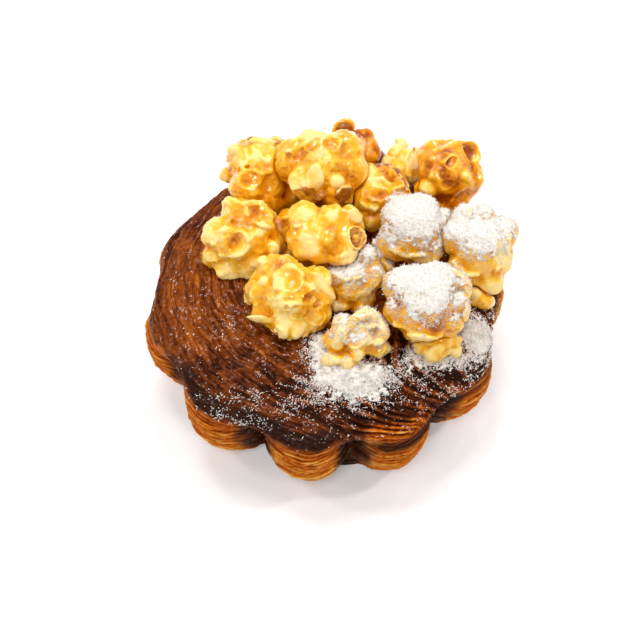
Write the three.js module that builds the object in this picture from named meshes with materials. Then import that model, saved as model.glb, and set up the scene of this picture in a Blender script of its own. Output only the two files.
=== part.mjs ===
// A fluted-tin croissant: one laminated pastry with a scalloped side, a rolled top and a dish in
// its top, heaped with pieces of caramel popcorn. Millimetres, +Z up. The origin is the middle of
// the pastry's flat base.
//
// The pastry is one closed skin of rings about the Z axis. Each piece of popcorn is one skin of
// rays about its own centre: the rays end on the outside of a cluster of round buds, and stop
// short of the neighbouring pieces and of the pastry.
import * as THREE from "three";
import { mergeVertices } from "three/addons/utils/BufferGeometryUtils.js";

// ---- Driving dimensions, in millimetres unless a name says otherwise ----
const FLUTES = 10;
const FLUTE_PITCH = (2 * Math.PI) / FLUTES;
// The way that each flute faces, in degrees from +X, from the front one around.
const FLUTE_HEADINGS = [263.5, 295.5, 331, 369, 406, 443, 479.5, 515.5, 551, 587.5, 623.5];
const STEPS_PER_FLUTE = 11;

const BASE_REACH = 44.5;
const BULGE_REACH = 57.2;
const BULGE_HEIGHT = 23;
const LIP_REACH = 55.5;
const LIP_HEIGHT = 32.5;
const VALLEY_BASE = 38.5;
const VALLEY_TOP = 49;
const FLUTE_GIRTH_BASE = 8;
const FLUTE_GIRTH_TOP = 13.4;
const LIP_SCALLOP_FRONT = 1.9;
const LIP_SCALLOP_BACK = 0.6;
// The base spreads at the front and draws in at the left: [heading in degrees, valleys, flutes].
const BASE_SPREADS = [[290, 4.5, 2.2], [195, -1, -2]];

const CROWN_HEIGHT = 40.5;
const DISH_CENTRE = { x: 8, y: 11 };
const DISH_REACH = 34;
const DISH_DEPTH = 6.5;

const GAP = 0.35;
const POPCORN_DETAIL = 3;
const CRUMB_DETAIL = 2;
const BLEND_POWER = 11;
const SLOPE = THREE.MathUtils.degToRad(56);
const PLUMPNESS = 1.04;

// ---- The pieces of popcorn ----
// at: the centre. buds: [across, up, out, radius], where "out" looks square onto the sloping
// face of the heap, "across" is +X and "up" climbs that face.
const POPCORN = [
  { name: "popcorn_back_left", at: [-21.1, 39.9, 44.5], buds: [
    [0.5, 1.5, 0, 9.6], [-6.2, 6.2, 0, 4.8], [-9.8, 0, 0, 2.8], [4.6, 7, -1, 5.2],
    [1.5, -6, 0, 7.4], [7.5, -6, -3, 6], [-3.5, -4, 5, 5.8], [1, -3, -5, 7]] },
  { name: "popcorn_crest", at: [-0.6, 37.1, 51.5], buds: [
    [0, 0, 2, 9], [-8, 1.5, 0, 7.2], [-3, 5, 0, 7.3], [6, 4.6, 0, 6.8], [7.6, -1.5, 1, 6.3],
    [-4, -5, 3, 6], [4, -6, 3, 5.4], [7, -9, 0, 3.6], [0, -3.8, -5.6, 7.6]] },
  { name: "popcorn_ear", at: [11.3, 48.9, 45.5], buds: [
    [0, -1, -1, 5.6], [-4.2, 6, 1, 3.6], [-3, 2, 0, 4], [2.2, 3, 1, 3.8], [2, -1, 1, 4],
    [3.6, -2.5, -2, 4.2], [0, -2.4, -4, 5]] },
  { name: "popcorn_petal", at: [25.4, 44.4, 44], buds: [
    [0, -1.5, -1, 5.8], [-1.2, 6, 0, 2.7], [-2, 2.8, 1, 3.4], [3.4, 3, 0, 3.6], [3.4, -0.5, 1, 4.4],
    [-5.2, 0.5, 0, 2.8], [0, -2.4, -4, 5]] },
  { name: "popcorn_glazed", at: [38.7, 37.5, 48], buds: [
    [-0.5, 0, 2, 8.4], [6.2, 5.6, 0, 4.5], [-3.6, 4.6, 0, 6], [2, 5.4, 0, 5.2], [6, -2, 2, 5],
    [1.5, -6.2, 0, 6], [-6.4, -5.2, 2, 4], [0, -3.2, -5, 7.2]] },
  { name: "popcorn_hull", at: [17.1, 31, 44], buds: [
    [0, 0, 1, 7.6], [-3, 4.5, 0, 5.4], [3.4, 4.8, 0, 5], [5.4, 1.2, 2, 4.4], [-2, -5.8, 1, 4.8],
    [-4.8, 0, 1, 5], [0.5, -2, -4.4, 6]] },
  { name: "popcorn_left", at: [-24.6, 13.6, 44.5], buds: [
    [-0.5, 0, 2, 8.8], [-5.4, 9.6, 0, 3.2], [-2, 7, 0, 5.8], [4, 6.2, 1, 5.2], [6.4, 2.8, 3, 3.6],
    [-6.6, 1, 0, 6.6], [-9.6, -4.8, 0, 4.2], [-4.2, -8, 0, 5], [1.5, -6, 1, 6.2],
    [6.6, -1.5, 1, 5], [0, -3.2, -5, 8]] },
  { name: "popcorn_swirl", at: [0.6, 11.1, 50], buds: [
    [0.5, 0, 2, 8.6], [-4.8, 5.6, 0, 6.2], [-5.2, -0.5, 1, 7], [1.5, 1.5, 3.6, 7.4],
    [6.4, 4.8, -1, 4.9], [7.4, -1.5, 1, 4.4], [-3, -5.8, 1, 5.8], [4.6, -6.4, 1, 5.2],
    [0, -3.2, -5, 7.2]] },
  { name: "popcorn_ball", at: [26.9, 13.8, 49.5], buds: [
    [0, 1, 1, 9.8], [-5.6, -4.6, 1, 5.8], [4, -5.6, 1, 6.2], [-5.4, 7.6, -1, 4.2],
    [6, -0.8, 0, 5.4], [2, 5.4, 0, 6.4], [8.6, 3.4, -1, 3.6], [0, -3.2, -5, 7.2]] },
  { name: "popcorn_tooth", at: [47.5, 8.3, 47], buds: [
    [0, 0, 2, 9], [-3.8, 8.2, 0, 5.2], [1.2, 9.6, -2, 4.2], [7.4, 4.8, 0, 5.6],
    [-5.6, 3, 3, 6.4], [4.4, -2.4, 0, 6.2], [-4, -4.8, 1, 5.8], [2.8, -8.6, 0, 5],
    [3.6, -11, 0, 3.2], [-1, -8, 0, 4], [0, -3.2, -5, 7.2]] },
  { name: "popcorn_crater", at: [-10.4, -8.7, 45], buds: [
    [0, 1.5, 2, 8.6], [-6.4, 8.8, 0, 4], [-2.6, 7.4, 0, 5.6], [-7.6, 1.8, 0, 6], [-8.4, -4.6, 1, 4.2],
    [0.8, 3.4, 3.4, 7.2], [7.2, 4.6, 0, 5.2], [8.4, 0.5, 0, 4.4], [6.4, -4.4, 0, 5.6],
    [-0.5, -5.8, 1, 6.4], [1.8, -9.4, 0, 4], [0, -3.2, -5, 8]] },
  { name: "popcorn_saddle", at: [8.9, -0.3, 40.5], buds: [
    [0, 0, 0, 7.4], [3.8, 7.6, 0, 4.4], [-5.2, 1, 0, 5], [6, 2.4, 0, 4.2], [-3.8, -5.4, 0, 4.2],
    [2, -4.8, 0, 4.8], [0, -2, -4, 6]] },
  { name: "popcorn_bun", at: [30.1, -12.9, 48.5], buds: [
    [0, 0, 1, 9.4], [3.4, 7.4, 0, 6], [8.6, 5.6, 0, 4.2], [7.8, -1, 0, 5.4], [-6.4, 4.2, 0, 6.2],
    [-6.8, -2.4, 0, 5.6], [0, -4, 2, 7.4], [6, -4.4, 1, 5.6], [-2, -7, -2, 5], [0, -3.2, -5, 7.2]] },
  { name: "popcorn_fold", at: [9, -22, 42], buds: [
    [0, 0, 0, 6.8], [3.4, 6, 0, 4.8], [-3, 4, 1, 4.8], [-5.8, 0, 1, 4.4], [6.4, 3.4, 0, 4.6],
    [6.6, -2.4, 0, 4.3], [-6.8, -6, 0, 4], [-1, -6, 1, 4.4], [0, -2, -4, 6]] },
  { name: "popcorn_under_bun", at: [34.2, -20.8, 38.5], buds: [
    [0, 1.5, 0, 5.4], [-4, -1, 0, 4.2], [-1, -3, 1, 3.8], [4.6, -1, 0, 3.8], [4.4, -3.4, 0, 3.2],
    [0, -1, -2, 5]] },
  { name: "popcorn_under_tooth", at: [47.6, -2.7, 38.5], buds: [
    [0, 1, -1, 3.8], [-1.6, 0, 1, 3.2], [1.8, -2.2, 0, 3.2], [0, -1, -2.4, 4]] },
  { name: "popcorn_amber", at: [-13.9, 18.5, 39], buds: [
    [0, 0, 0, 4.8], [0, 3, 0, 4.4], [1.6, -3.4, 0, 3.2], [2, 5.6, -2, 3.2], [0, -1, -2, 5]] },
  { name: "popcorn_link", at: [17.4, 8.2, 43.5], buds: [
    [0, 0, 0, 3.6], [-1.2, 2.8, 0, 3.2], [1.6, -3, 0, 3], [0, -1, -2.4, 4]] },
];

// ---- The pastry ----
const smoothstep = (a, b, x) => THREE.MathUtils.smoothstep(x, a, b);
const mix = (a, b, t) => a + (b - a) * t;
const softMax = (a, b, soft) => 0.5 * (a + b + Math.sqrt((a - b) ** 2 + soft ** 2));

// How many flutes round from the front one a place is, and the way that such a place faces.
function fluteTurn(angle) {
  const start = FLUTE_HEADINGS[0];
  const heading = THREE.MathUtils.euclideanModulo(THREE.MathUtils.radToDeg(angle) - start, 360);
  const number = FLUTE_HEADINGS.findIndex((next) => next - start > heading) - 1;
  const [from, to] = [FLUTE_HEADINGS[number], FLUTE_HEADINGS[number + 1]];
  return number + (start + heading - from) / (to - from);
}
function facingOfTurn(turn) {
  const number = Math.floor(turn);
  const [from, to] = [FLUTE_HEADINGS[number], FLUTE_HEADINGS[number + 1]];
  return THREE.MathUtils.degToRad(from + (to - from) * (turn - number));
}

// The angle from the middle of the nearest flute, between -half a pitch and +half a pitch.
function angleFromFlute(angle) {
  const turns = fluteTurn(angle);
  return (turns - Math.round(turns)) * FLUTE_PITCH;
}

// How much further out the base is at an angle, in a valley or on a flute.
function baseSpread(angle, onFlute) {
  let total = 0;
  for (const [heading, valley, flute] of BASE_SPREADS) {
    const near = Math.max(0, Math.cos(angle - THREE.MathUtils.degToRad(heading))) ** 4;
    total += near * (onFlute ? flute * near : valley);
  }
  return total;
}

// How far the fluted side stands out at an angle, at a height between the base and the lip. Each
// flute is a round column that narrows and leans inwards to the base, on a narrower core.
function sideReach(angle, height) {
  const rise = Math.min(height / BULGE_HEIGHT, 1);
  const swell = Math.sin((rise * Math.PI) / 2) ** 0.9;
  const tip = mix(BASE_REACH + baseSpread(angle, true), BULGE_REACH, swell);
  const girth = mix(FLUTE_GIRTH_BASE, FLUTE_GIRTH_TOP, swell);
  const core = mix(VALLEY_BASE + baseSpread(angle, false), VALLEY_TOP, height / LIP_HEIGHT);
  const spine = tip - girth;
  const off = angleFromFlute(angle);
  const chord = girth ** 2 - (spine * Math.sin(off)) ** 2;
  const column = chord > 0 ? spine * Math.cos(off) + Math.sqrt(chord) : 0;
  return softMax(core, column, 2.4) - 0.5;
}

// The rolled lip bridges the valleys, so it is only lightly scalloped.
function lipReach(angle) {
  const across = angleFromFlute(angle) / FLUTE_PITCH;
  const scallop = mix(LIP_SCALLOP_BACK, LIP_SCALLOP_FRONT, 0.5 - 0.5 * Math.sin(angle));
  return LIP_REACH - scallop * (1 - Math.cos(2 * Math.PI * across));
}

// The top: a dome that falls to the lip, with the dish let into it off centre.
function topHeight(x, y) {
  const out = Math.min(Math.hypot(x, y) / LIP_REACH, 1);
  const dome = mix(CROWN_HEIGHT, LIP_HEIGHT, out ** 3.4);
  const away = Math.hypot(x - DISH_CENTRE.x, y - DISH_CENTRE.y) / DISH_REACH;
  return dome - DISH_DEPTH * (1 - smoothstep(0.45, 1.12, away));
}

// The rings, from the middle of the base out, up the side, over the lip and in to the middle of
// the top. Each gives the point of the skin at an angle.
function pastryRings() {
  const rings = [];
  for (const part of [0.5, 0.93]) {
    rings.push((angle) => [sideReach(angle, 0) * part - 0.8, 0]);
  }
  for (const height of [1.2, 4.5, 9, 14, 19, 23.5, 27.5]) {
    rings.push((angle) => [sideReach(angle, height), height]);
  }
  rings.push((angle) => [mix(sideReach(angle, 29), lipReach(angle), 0.75), 29.8]);
  rings.push((angle) => [lipReach(angle), 31.6]);
  for (const part of [0.975, 0.91, 0.82, 0.71, 0.59, 0.46, 0.32, 0.17]) {
    rings.push((angle) => {
      const reach = lipReach(angle) * part;
      return [reach, topHeight(reach * Math.cos(angle), reach * Math.sin(angle))];
    });
  }
  return rings;
}

function pastryGeometry() {
  const around = FLUTES * STEPS_PER_FLUTE;
  const rings = pastryRings();
  const points = [[0, 0, 0]];
  for (const ring of rings) {
    for (let step = 0; step < around; step += 1) {
      const angle = facingOfTurn((step / around) * FLUTES);
      const [reach, height] = ring(angle);
      points.push([reach * Math.cos(angle), reach * Math.sin(angle), height]);
    }
  }
  points.push([0, 0, topHeight(0, 0)]);

  const faces = [];
  const at = (ring, step) => 1 + ring * around + (step % around);
  for (let step = 0; step < around; step += 1) {
    faces.push([0, at(0, step + 1), at(0, step)]);
    for (let ring = 0; ring < rings.length - 1; ring += 1) {
      const [a, b] = [at(ring, step), at(ring, step + 1)];
      const [c, d] = [at(ring + 1, step), at(ring + 1, step + 1)];
      faces.push([a, b, d], [a, d, c]);
    }
    faces.push([at(rings.length - 1, step), at(rings.length - 1, step + 1), points.length - 1]);
  }
  const geometry = new THREE.BufferGeometry();
  geometry.setAttribute("position", new THREE.Float32BufferAttribute(points.flat(), 3));
  geometry.setIndex(faces.flat());
  return geometry;
}

// ---- The popcorn ----
// A bud's own axes turned to the part's: across is +X, up climbs the slope, out faces it.
function budCentre([across, up, out]) {
  return new THREE.Vector3(
    across,
    up * Math.sin(SLOPE) - out * Math.cos(SLOPE),
    up * Math.cos(SLOPE) + out * Math.sin(SLOPE),
  );
}

// How far a ray from the piece's centre runs before it leaves one bud, or 0 if it misses. A ray
// that only grazes a bud is drawn in, so that the skin has no step there.
function budReach(bud, ray) {
  const along = bud.centre.dot(ray);
  const chord = bud.radius ** 2 - bud.centre.lengthSq() + along ** 2;
  if (chord <= 0 || along + Math.sqrt(chord) <= 0) return 0;
  const graze = Math.min(chord / (0.3 * bud.radius ** 2), 1);
  return (along + Math.sqrt(chord)) * mix(0.6, 1, graze * (2 - graze));
}

// The outside of all a piece's buds along a ray, blended softly where they meet.
function clusterReach(piece, ray) {
  const sum = piece.buds.reduce((total, bud) => total + budReach(bud, ray) ** BLEND_POWER, 0);
  return sum ** (1 / BLEND_POWER);
}

// The flat wall between two pieces, as [direction, distance] from the first one's centre. It
// shares the way between them by their reach.
function wallBetween(piece, other) {
  const way = other.centre.clone().sub(piece.centre);
  const apart = way.length();
  way.divideScalar(apart);
  const mine = clusterReach(piece, way);
  const theirs = clusterReach(other, way.clone().negate());
  return [way, (apart * mine) / (mine + theirs) - GAP / 2];
}

// How far a ray can run from a piece's centre before it comes within the gap of the pastry.
function reachAbovePastry(piece, ray, reach) {
  const step = 0.25;
  for (let run = 0; run < reach; run += step) {
    const point = piece.centre.clone().addScaledVector(ray, run + step);
    const plan = Math.hypot(point.x, point.y);
    const inside = plan < lipReach(Math.atan2(point.y, point.x)) + 3;
    if (inside && point.z < topHeight(point.x, point.y) + 2 * GAP) return run;
  }
  return reach;
}

function popcornGeometry(piece, others) {
  const detail = piece.buds.length > 6 ? POPCORN_DETAIL : CRUMB_DETAIL;
  const geometry = new THREE.IcosahedronGeometry(1, detail);
  geometry.deleteAttribute("normal");
  geometry.deleteAttribute("uv");
  const skin = mergeVertices(geometry, 1e-5);
  const walls = others.map((other) => wallBetween(piece, other));
  const position = skin.getAttribute("position");
  const ray = new THREE.Vector3();
  for (let index = 0; index < position.count; index += 1) {
    ray.fromBufferAttribute(position, index).normalize();
    let reach = clusterReach(piece, ray);
    for (const [way, distance] of walls) {
      const facing = way.dot(ray);
      if (facing * reach > distance) reach = distance / facing;
    }
    reach = reachAbovePastry(piece, ray, reach);
    position.setXYZ(index, ray.x * reach, ray.y * reach, ray.z * reach);
  }
  return skin;
}

// ---- The whole ----
const material = (color, roughness) =>
  new THREE.MeshStandardMaterial({ color, roughness, metalness: 0 });
const CRUST = material(0x7a3d1c, 0.55);
const CARAMEL = material(0xe3a63c, 0.25);

const pieces = POPCORN.map(({ name, at, buds }) => ({
  name,
  centre: new THREE.Vector3(...at),
  buds: buds.map((bud) => ({
    centre: budCentre(bud).multiplyScalar(PLUMPNESS),
    radius: bud[3] * PLUMPNESS,
  })),
}));

const croissant = new THREE.Group();

const pastry = new THREE.Mesh(pastryGeometry(), CRUST);
pastry.name = "pastry";
croissant.add(pastry);

for (const piece of pieces) {
  const others = pieces.filter((other) => other !== piece);
  const popcorn = new THREE.Mesh(popcornGeometry(piece, others), CARAMEL);
  popcorn.name = piece.name;
  popcorn.position.copy(piece.centre);
  croissant.add(popcorn);
}

export default croissant;
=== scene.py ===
"""A fluted croissant heaped with caramel popcorn and dusted with powdered sugar.

The pastry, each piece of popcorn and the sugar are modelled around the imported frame. Shapes are
worked out in millimetres and become metres where their mesh is made.
"""
import itertools
import math

import bpy
import numpy as np
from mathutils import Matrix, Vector


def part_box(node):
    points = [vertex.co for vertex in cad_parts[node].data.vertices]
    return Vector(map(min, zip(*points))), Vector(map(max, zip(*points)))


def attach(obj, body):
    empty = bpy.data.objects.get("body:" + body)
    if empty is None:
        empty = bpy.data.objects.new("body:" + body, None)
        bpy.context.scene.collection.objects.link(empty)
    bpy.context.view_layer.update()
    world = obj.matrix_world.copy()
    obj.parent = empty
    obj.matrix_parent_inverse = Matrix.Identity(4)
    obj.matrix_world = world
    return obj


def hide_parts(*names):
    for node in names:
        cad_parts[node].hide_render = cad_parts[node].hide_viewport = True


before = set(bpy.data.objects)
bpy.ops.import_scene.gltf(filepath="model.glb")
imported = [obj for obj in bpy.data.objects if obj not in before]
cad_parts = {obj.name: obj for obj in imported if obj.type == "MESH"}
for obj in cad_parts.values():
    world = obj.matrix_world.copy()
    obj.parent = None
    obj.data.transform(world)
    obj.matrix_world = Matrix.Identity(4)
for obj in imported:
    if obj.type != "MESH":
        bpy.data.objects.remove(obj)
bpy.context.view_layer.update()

MM = 0.001

# ---- The pastry's sizes, in millimetres, as in the frame ----
# A reach is how far out from the middle something is. The headings run round from the front flute
# until they are back at it.
FLUTES = 10
FLUTE_PITCH = 2 * math.pi / FLUTES
FLUTE_HEADINGS = [263.5, 295.5, 331, 369, 406, 443, 479.5, 515.5, 551, 587.5, 623.5]
BASE_REACH = 44.5
BULGE_REACH = 57.2
BULGE_HEIGHT = 23
LIP_REACH = 55.5
LIP_HEIGHT = 32.5
VALLEY_BASE = 38.5
VALLEY_TOP = 49
FLUTE_GIRTH_BASE = 8
FLUTE_GIRTH_TOP = 13.4
LIP_SCALLOP_FRONT = 1.9
LIP_SCALLOP_BACK = 0.6
CROWN_HEIGHT = 40.5
DISH_CENTRE = (8, 11)
DISH_REACH = 34
DISH_DEPTH = 6.5

# The headings at which the base stands further out, by how much in a valley and on a flute.
BASE_SPREADS = [(290, 4.5, 2.2), (195, -1, -2)]

# ---- The popcorn's sizes ----
# The pieces are shaped along the slope of the heap. Their buds are a little plumper than listed,
# and meet the more sharply the larger the sharpness is. Pieces whose centres are further apart
# than the neighbours' reach don't touch.
SLOPE = math.radians(56)
PLUMPNESS = 1.04
BUD_SHARPNESS = 2.2
NEIGHBOUR_REACH = 36
PLATE_HALF_THICKNESS = 0.75
POPCORN_CELL = 0.4

# ---- The sugar's sizes ----
SUGAR_DEPTH = 0.9
DRIFT_CELL = 0.5
CRYSTAL_LENGTH = 0.95
CRYSTAL_WIDTH = 0.155

# Crystals for each square metre, where the sugar is thickest.
CRYSTALS_ON_PASTRY = 1.5e7
CRYSTALS_ON_POWDER = 5.5e6
CRYSTALS_ON_POPCORN = 1.1e7


# ==== Numbers ====
def smoothstep(low, high, value):
    """0 below low, 1 above high, and a smooth rise between them."""
    part = np.clip((value - low) / (high - low), 0, 1)
    return part * part * (3 - 2 * part)


def between(value, start, full, ease, end):
    """0 outside start and end, 1 from full to ease, and smooth on both sides."""
    return smoothstep(start, full, value) * (1 - smoothstep(ease, end, value))


def hump(value, middle, width):
    """1 at the middle, and less the further away, as a bell curve."""
    return np.exp(-(((value - middle) / width) ** 2))


def mix(a, b, part):
    """The first where the part is 0, the second where it is 1."""
    return a + (b - a) * part


def soft_max(a, b, soft):
    """The larger of two fields, rounded where they cross."""
    return 0.5 * (a + b + np.sqrt((a - b) ** 2 + soft**2))


def soft_min(a, b, soft):
    """The smaller of two fields, filleted where they cross."""
    return -soft_max(-a, -b, soft)


GRADIENTS = np.random.default_rng(11).normal(size=(256, 3))
GRADIENTS /= np.linalg.norm(GRADIENTS, axis=1, keepdims=True)
HASH = np.array([73856093, 19349663, 83492791], dtype=np.int64)


def noise(points, seed):
    """Smooth gradient noise between about -1 and 1, with one bump to a unit."""
    cell = np.floor(points).astype(np.int64)
    part = points - cell
    fade = part**3 * (part * (part * 6 - 15) + 10)
    total = np.zeros(points.shape[:-1])
    for corner in np.ndindex(2, 2, 2):
        key = (cell + corner) @ HASH + seed * 7919
        key = (key ^ (key >> 15)) * 2246822519
        gradient = GRADIENTS[(key >> 11) & 255]
        weight = np.where(corner, fade, 1 - fade).prod(axis=-1)
        total += weight * ((part - corner) * gradient).sum(axis=-1)
    return total * 1.7


def rough_noise(points, seed, octaves=3):
    """Noise with finer noise on it, each octave half as high and twice as fine."""
    total = 0
    for octave in range(octaves):
        total = total + noise(points * 2**octave, seed + octave) / 2**octave
    return total


def drift(points, seed):
    """A smooth random vector at each point."""
    return np.stack([noise(points, seed + axis) for axis in range(3)], axis=-1)


def grooves(points, seed, width=0.2):
    """Narrow grooves between broad flats, 0 to 1."""
    return np.maximum(0, 1 - np.abs(noise(points, seed)) / width)


# ==== The pastry's form ====
def flute_turn(angle):
    """How many flutes round from the front one a place is."""
    start = FLUTE_HEADINGS[0]
    heading = start + (np.degrees(angle) - start) % 360
    return np.interp(heading, FLUTE_HEADINGS, np.arange(FLUTES + 1.0))


def angle_from_flute(angle):
    """The angle from the middle of the nearest flute."""
    turns = flute_turn(angle)
    return (turns - np.round(turns)) * FLUTE_PITCH


def base_spread(angle, on_flute):
    """How much further out the base is, in a valley or on a flute."""
    total = 0
    for heading, valley, flute in BASE_SPREADS:
        near = np.maximum(0, np.cos(angle - math.radians(heading))) ** 4
        total = total + near * (flute * near if on_flute else valley)
    return total


def side_reach(angle, height):
    """How far the fluted side stands out."""
    rise = np.clip(height / BULGE_HEIGHT, 0, 1)
    swell = np.sin(rise * math.pi / 2) ** 0.9
    tip = mix(BASE_REACH + base_spread(angle, True), BULGE_REACH, swell)
    girth = mix(FLUTE_GIRTH_BASE, FLUTE_GIRTH_TOP, swell)
    core = mix(VALLEY_BASE + base_spread(angle, False), VALLEY_TOP, height / LIP_HEIGHT)
    spine = tip - girth
    off = angle_from_flute(angle)
    chord = girth**2 - (spine * np.sin(off)) ** 2
    column = np.where(chord > 0, spine * np.cos(off) + np.sqrt(np.maximum(chord, 0)), 0)
    return soft_max(core, column, 2.4) - 0.5


def lip_reach(angle):
    """The rolled lip bridges the valleys, so it is only lightly scalloped."""
    across = angle_from_flute(angle) / FLUTE_PITCH
    scallop = mix(LIP_SCALLOP_BACK, LIP_SCALLOP_FRONT, 0.5 - 0.5 * np.sin(angle))
    return LIP_REACH - scallop * (1 - np.cos(2 * math.pi * across))


def top_height(x, y):
    """A dome that falls to the lip, with the dish let into it off centre."""
    out = np.minimum(np.hypot(x, y) / LIP_REACH, 1)
    dome = mix(CROWN_HEIGHT, LIP_HEIGHT, out**3.4)
    away = np.hypot(x - DISH_CENTRE[0], y - DISH_CENTRE[1]) / DISH_REACH
    return dome - DISH_DEPTH * (1 - smoothstep(0.45, 1.12, away))


# ==== Meshes ====
def set_numbers(mesh, label, numbers):
    """Keeps one named number for each point of a mesh."""
    layer = mesh.attributes.new(label, "FLOAT", "POINT")
    layer.data.foreach_set("value", np.ascontiguousarray(numbers, dtype=np.float32))


def numbers_of(mesh, label):
    """One named number for each point of a mesh."""
    out = np.zeros(len(mesh.vertices), np.float32)
    mesh.attributes[label].data.foreach_get("value", out)
    return out


def mesh_object(name, points, faces, finish, values=None):
    """A piece from points in millimetres, its faces and named numbers for each point."""
    mesh = bpy.data.meshes.new(name)
    mesh.from_pydata((np.asarray(points) * MM).tolist(), [], faces)
    for label, numbers in (values or {}).items():
        set_numbers(mesh, label, numbers)
    mesh.materials.append(finish)
    mesh.shade_smooth()
    mesh.update()
    piece = bpy.data.objects.new(name, mesh)
    bpy.context.scene.collection.objects.link(piece)
    return piece


def joined(name, parts, finish):
    """One piece from several skins, each given as its points and faces."""
    starts = np.cumsum([0] + [len(points) for points, _ in parts])
    faces = [faces + start for (_, faces), start in zip(parts, starts)]
    return mesh_object(name, np.concatenate([points for points, _ in parts]),
                       np.concatenate(faces).tolist(), finish)


def shifted(steps, axes, cells):
    """The part of a grid that lies a step, of 0 or 1, along each of the axes, as slices."""
    window = [slice(None)] * 3
    for axis, step in zip(axes, steps):
        window[axis] = slice(step, step + cells[axis])
    return tuple(window)


def faces_across(axis, crossed, starts_inside, number):
    """The faces that join the points of the four cells around each crossed edge along an axis."""
    others = [other for other in range(3) if other != axis]
    at = np.argwhere(crossed)
    at = at[np.all([(at[:, o] > 0) & (at[:, o] < number.shape[o]) for o in others], axis=0)]
    ring = []
    for steps in ((-1, -1), (0, -1), (0, 0), (-1, 0)):
        place = at.copy()
        for other, step in zip(others, steps):
            place[:, other] += step
        ring.append(number[tuple(place.T)])
    ring = np.stack(ring, axis=1)
    outward = starts_inside[tuple(at.T)]
    if axis == 1:
        outward = ~outward
    ring[~outward] = ring[~outward][:, ::-1]
    return ring


def skin_of(field, low, cell):
    """Points and faces of the skin where a field on a grid crosses 0, negative being inside.

    Each grid cell that the skin passes through gets one point, at the mean of the places where
    the skin crosses its edges, and each crossed grid edge joins the four points around it.
    """
    inside = field < 0
    cells = tuple(size - 1 for size in field.shape)
    total = np.zeros(cells + (3,))
    count = np.zeros(cells)
    edges = []
    for axis in range(3):
        near, far = [slice(None)] * 3, [slice(None)] * 3
        near[axis], far[axis] = slice(None, -1), slice(1, None)
        near, far = tuple(near), tuple(far)
        a, b = field[near], field[far]
        crossed = inside[near] != inside[far]
        part = np.where(crossed, a / np.where(crossed, a - b, 1), 0)
        others = [other for other in range(3) if other != axis]
        for steps in np.ndindex(2, 2):
            window = shifted(steps, others, cells)
            hit = crossed[window]
            total[..., axis] += np.where(hit, part[window], 0)
            for other, step in zip(others, steps):
                total[..., other] += hit * step
            count += hit
        edges.append((axis, crossed, inside[near]))
    used = count > 0
    number = np.full(cells, -1)
    number[used] = np.arange(used.sum())
    points = low + cell * (np.argwhere(used) + total[used] / count[used][:, None])
    return points, np.concatenate([faces_across(*edge, number) for edge in edges])


def grid_over(low, high, cell):
    """The points of a grid from one corner to past the other."""
    lines = [np.arange(a, b + cell, cell) for a, b in zip(low, high)]
    return np.stack(np.meshgrid(*lines, indexing="ij"), axis=-1)


def curvature(field, reach, cell):
    """How sharply the skins of a field curve: more than 0 on ridges, less than 0 in creases."""
    total = -6 * field
    for axis in range(3):
        total += np.roll(field, reach, axis) + np.roll(field, -reach, axis)
    return total / (reach * cell) ** 2


def lookup(field, low, cell, points):
    """A grid field read between its grid points."""
    place = np.clip((points - low) / cell, 0, np.array(field.shape) - 1.001)
    base = place.astype(int)
    part = place - base
    total = 0
    for corner in np.ndindex(2, 2, 2):
        weight = np.where(corner, part, 1 - part).prod(axis=-1)
        total = total + weight * field[tuple((base + corner).T)]
    return total


# ==== Materials ====
class Flow:
    """A shader socket that can be used in sums. Each operator adds a Math node."""

    def __init__(self, recipe, socket):
        self.recipe = recipe
        self.socket = socket

    def math(self, operation, *values, clamp=False):
        """The outcome of a Math node."""
        settings = {"operation": operation, "use_clamp": clamp}
        return self.recipe.node("ShaderNodeMath", settings, dict(enumerate(values)))

    def __add__(self, other):
        return self.math("ADD", self, other)

    def __sub__(self, other):
        return self.math("SUBTRACT", self, other)

    def __rsub__(self, other):
        return self.math("SUBTRACT", other, self)

    def __mul__(self, other):
        return self.math("MULTIPLY", self, other)

    def __rmul__(self, other):
        return self.math("MULTIPLY", other, self)

    def clamp(self):
        """Kept between 0 and 1."""
        return self.math("ADD", self, 0.0, clamp=True)

    def rise(self, low, high):
        """0 below low, 1 above high, and smooth between them."""
        settings = {"interpolation_type": "SMOOTHSTEP"}
        return self.recipe.node("ShaderNodeMapRange", settings, {0: self, 1: low, 2: high})


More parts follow.
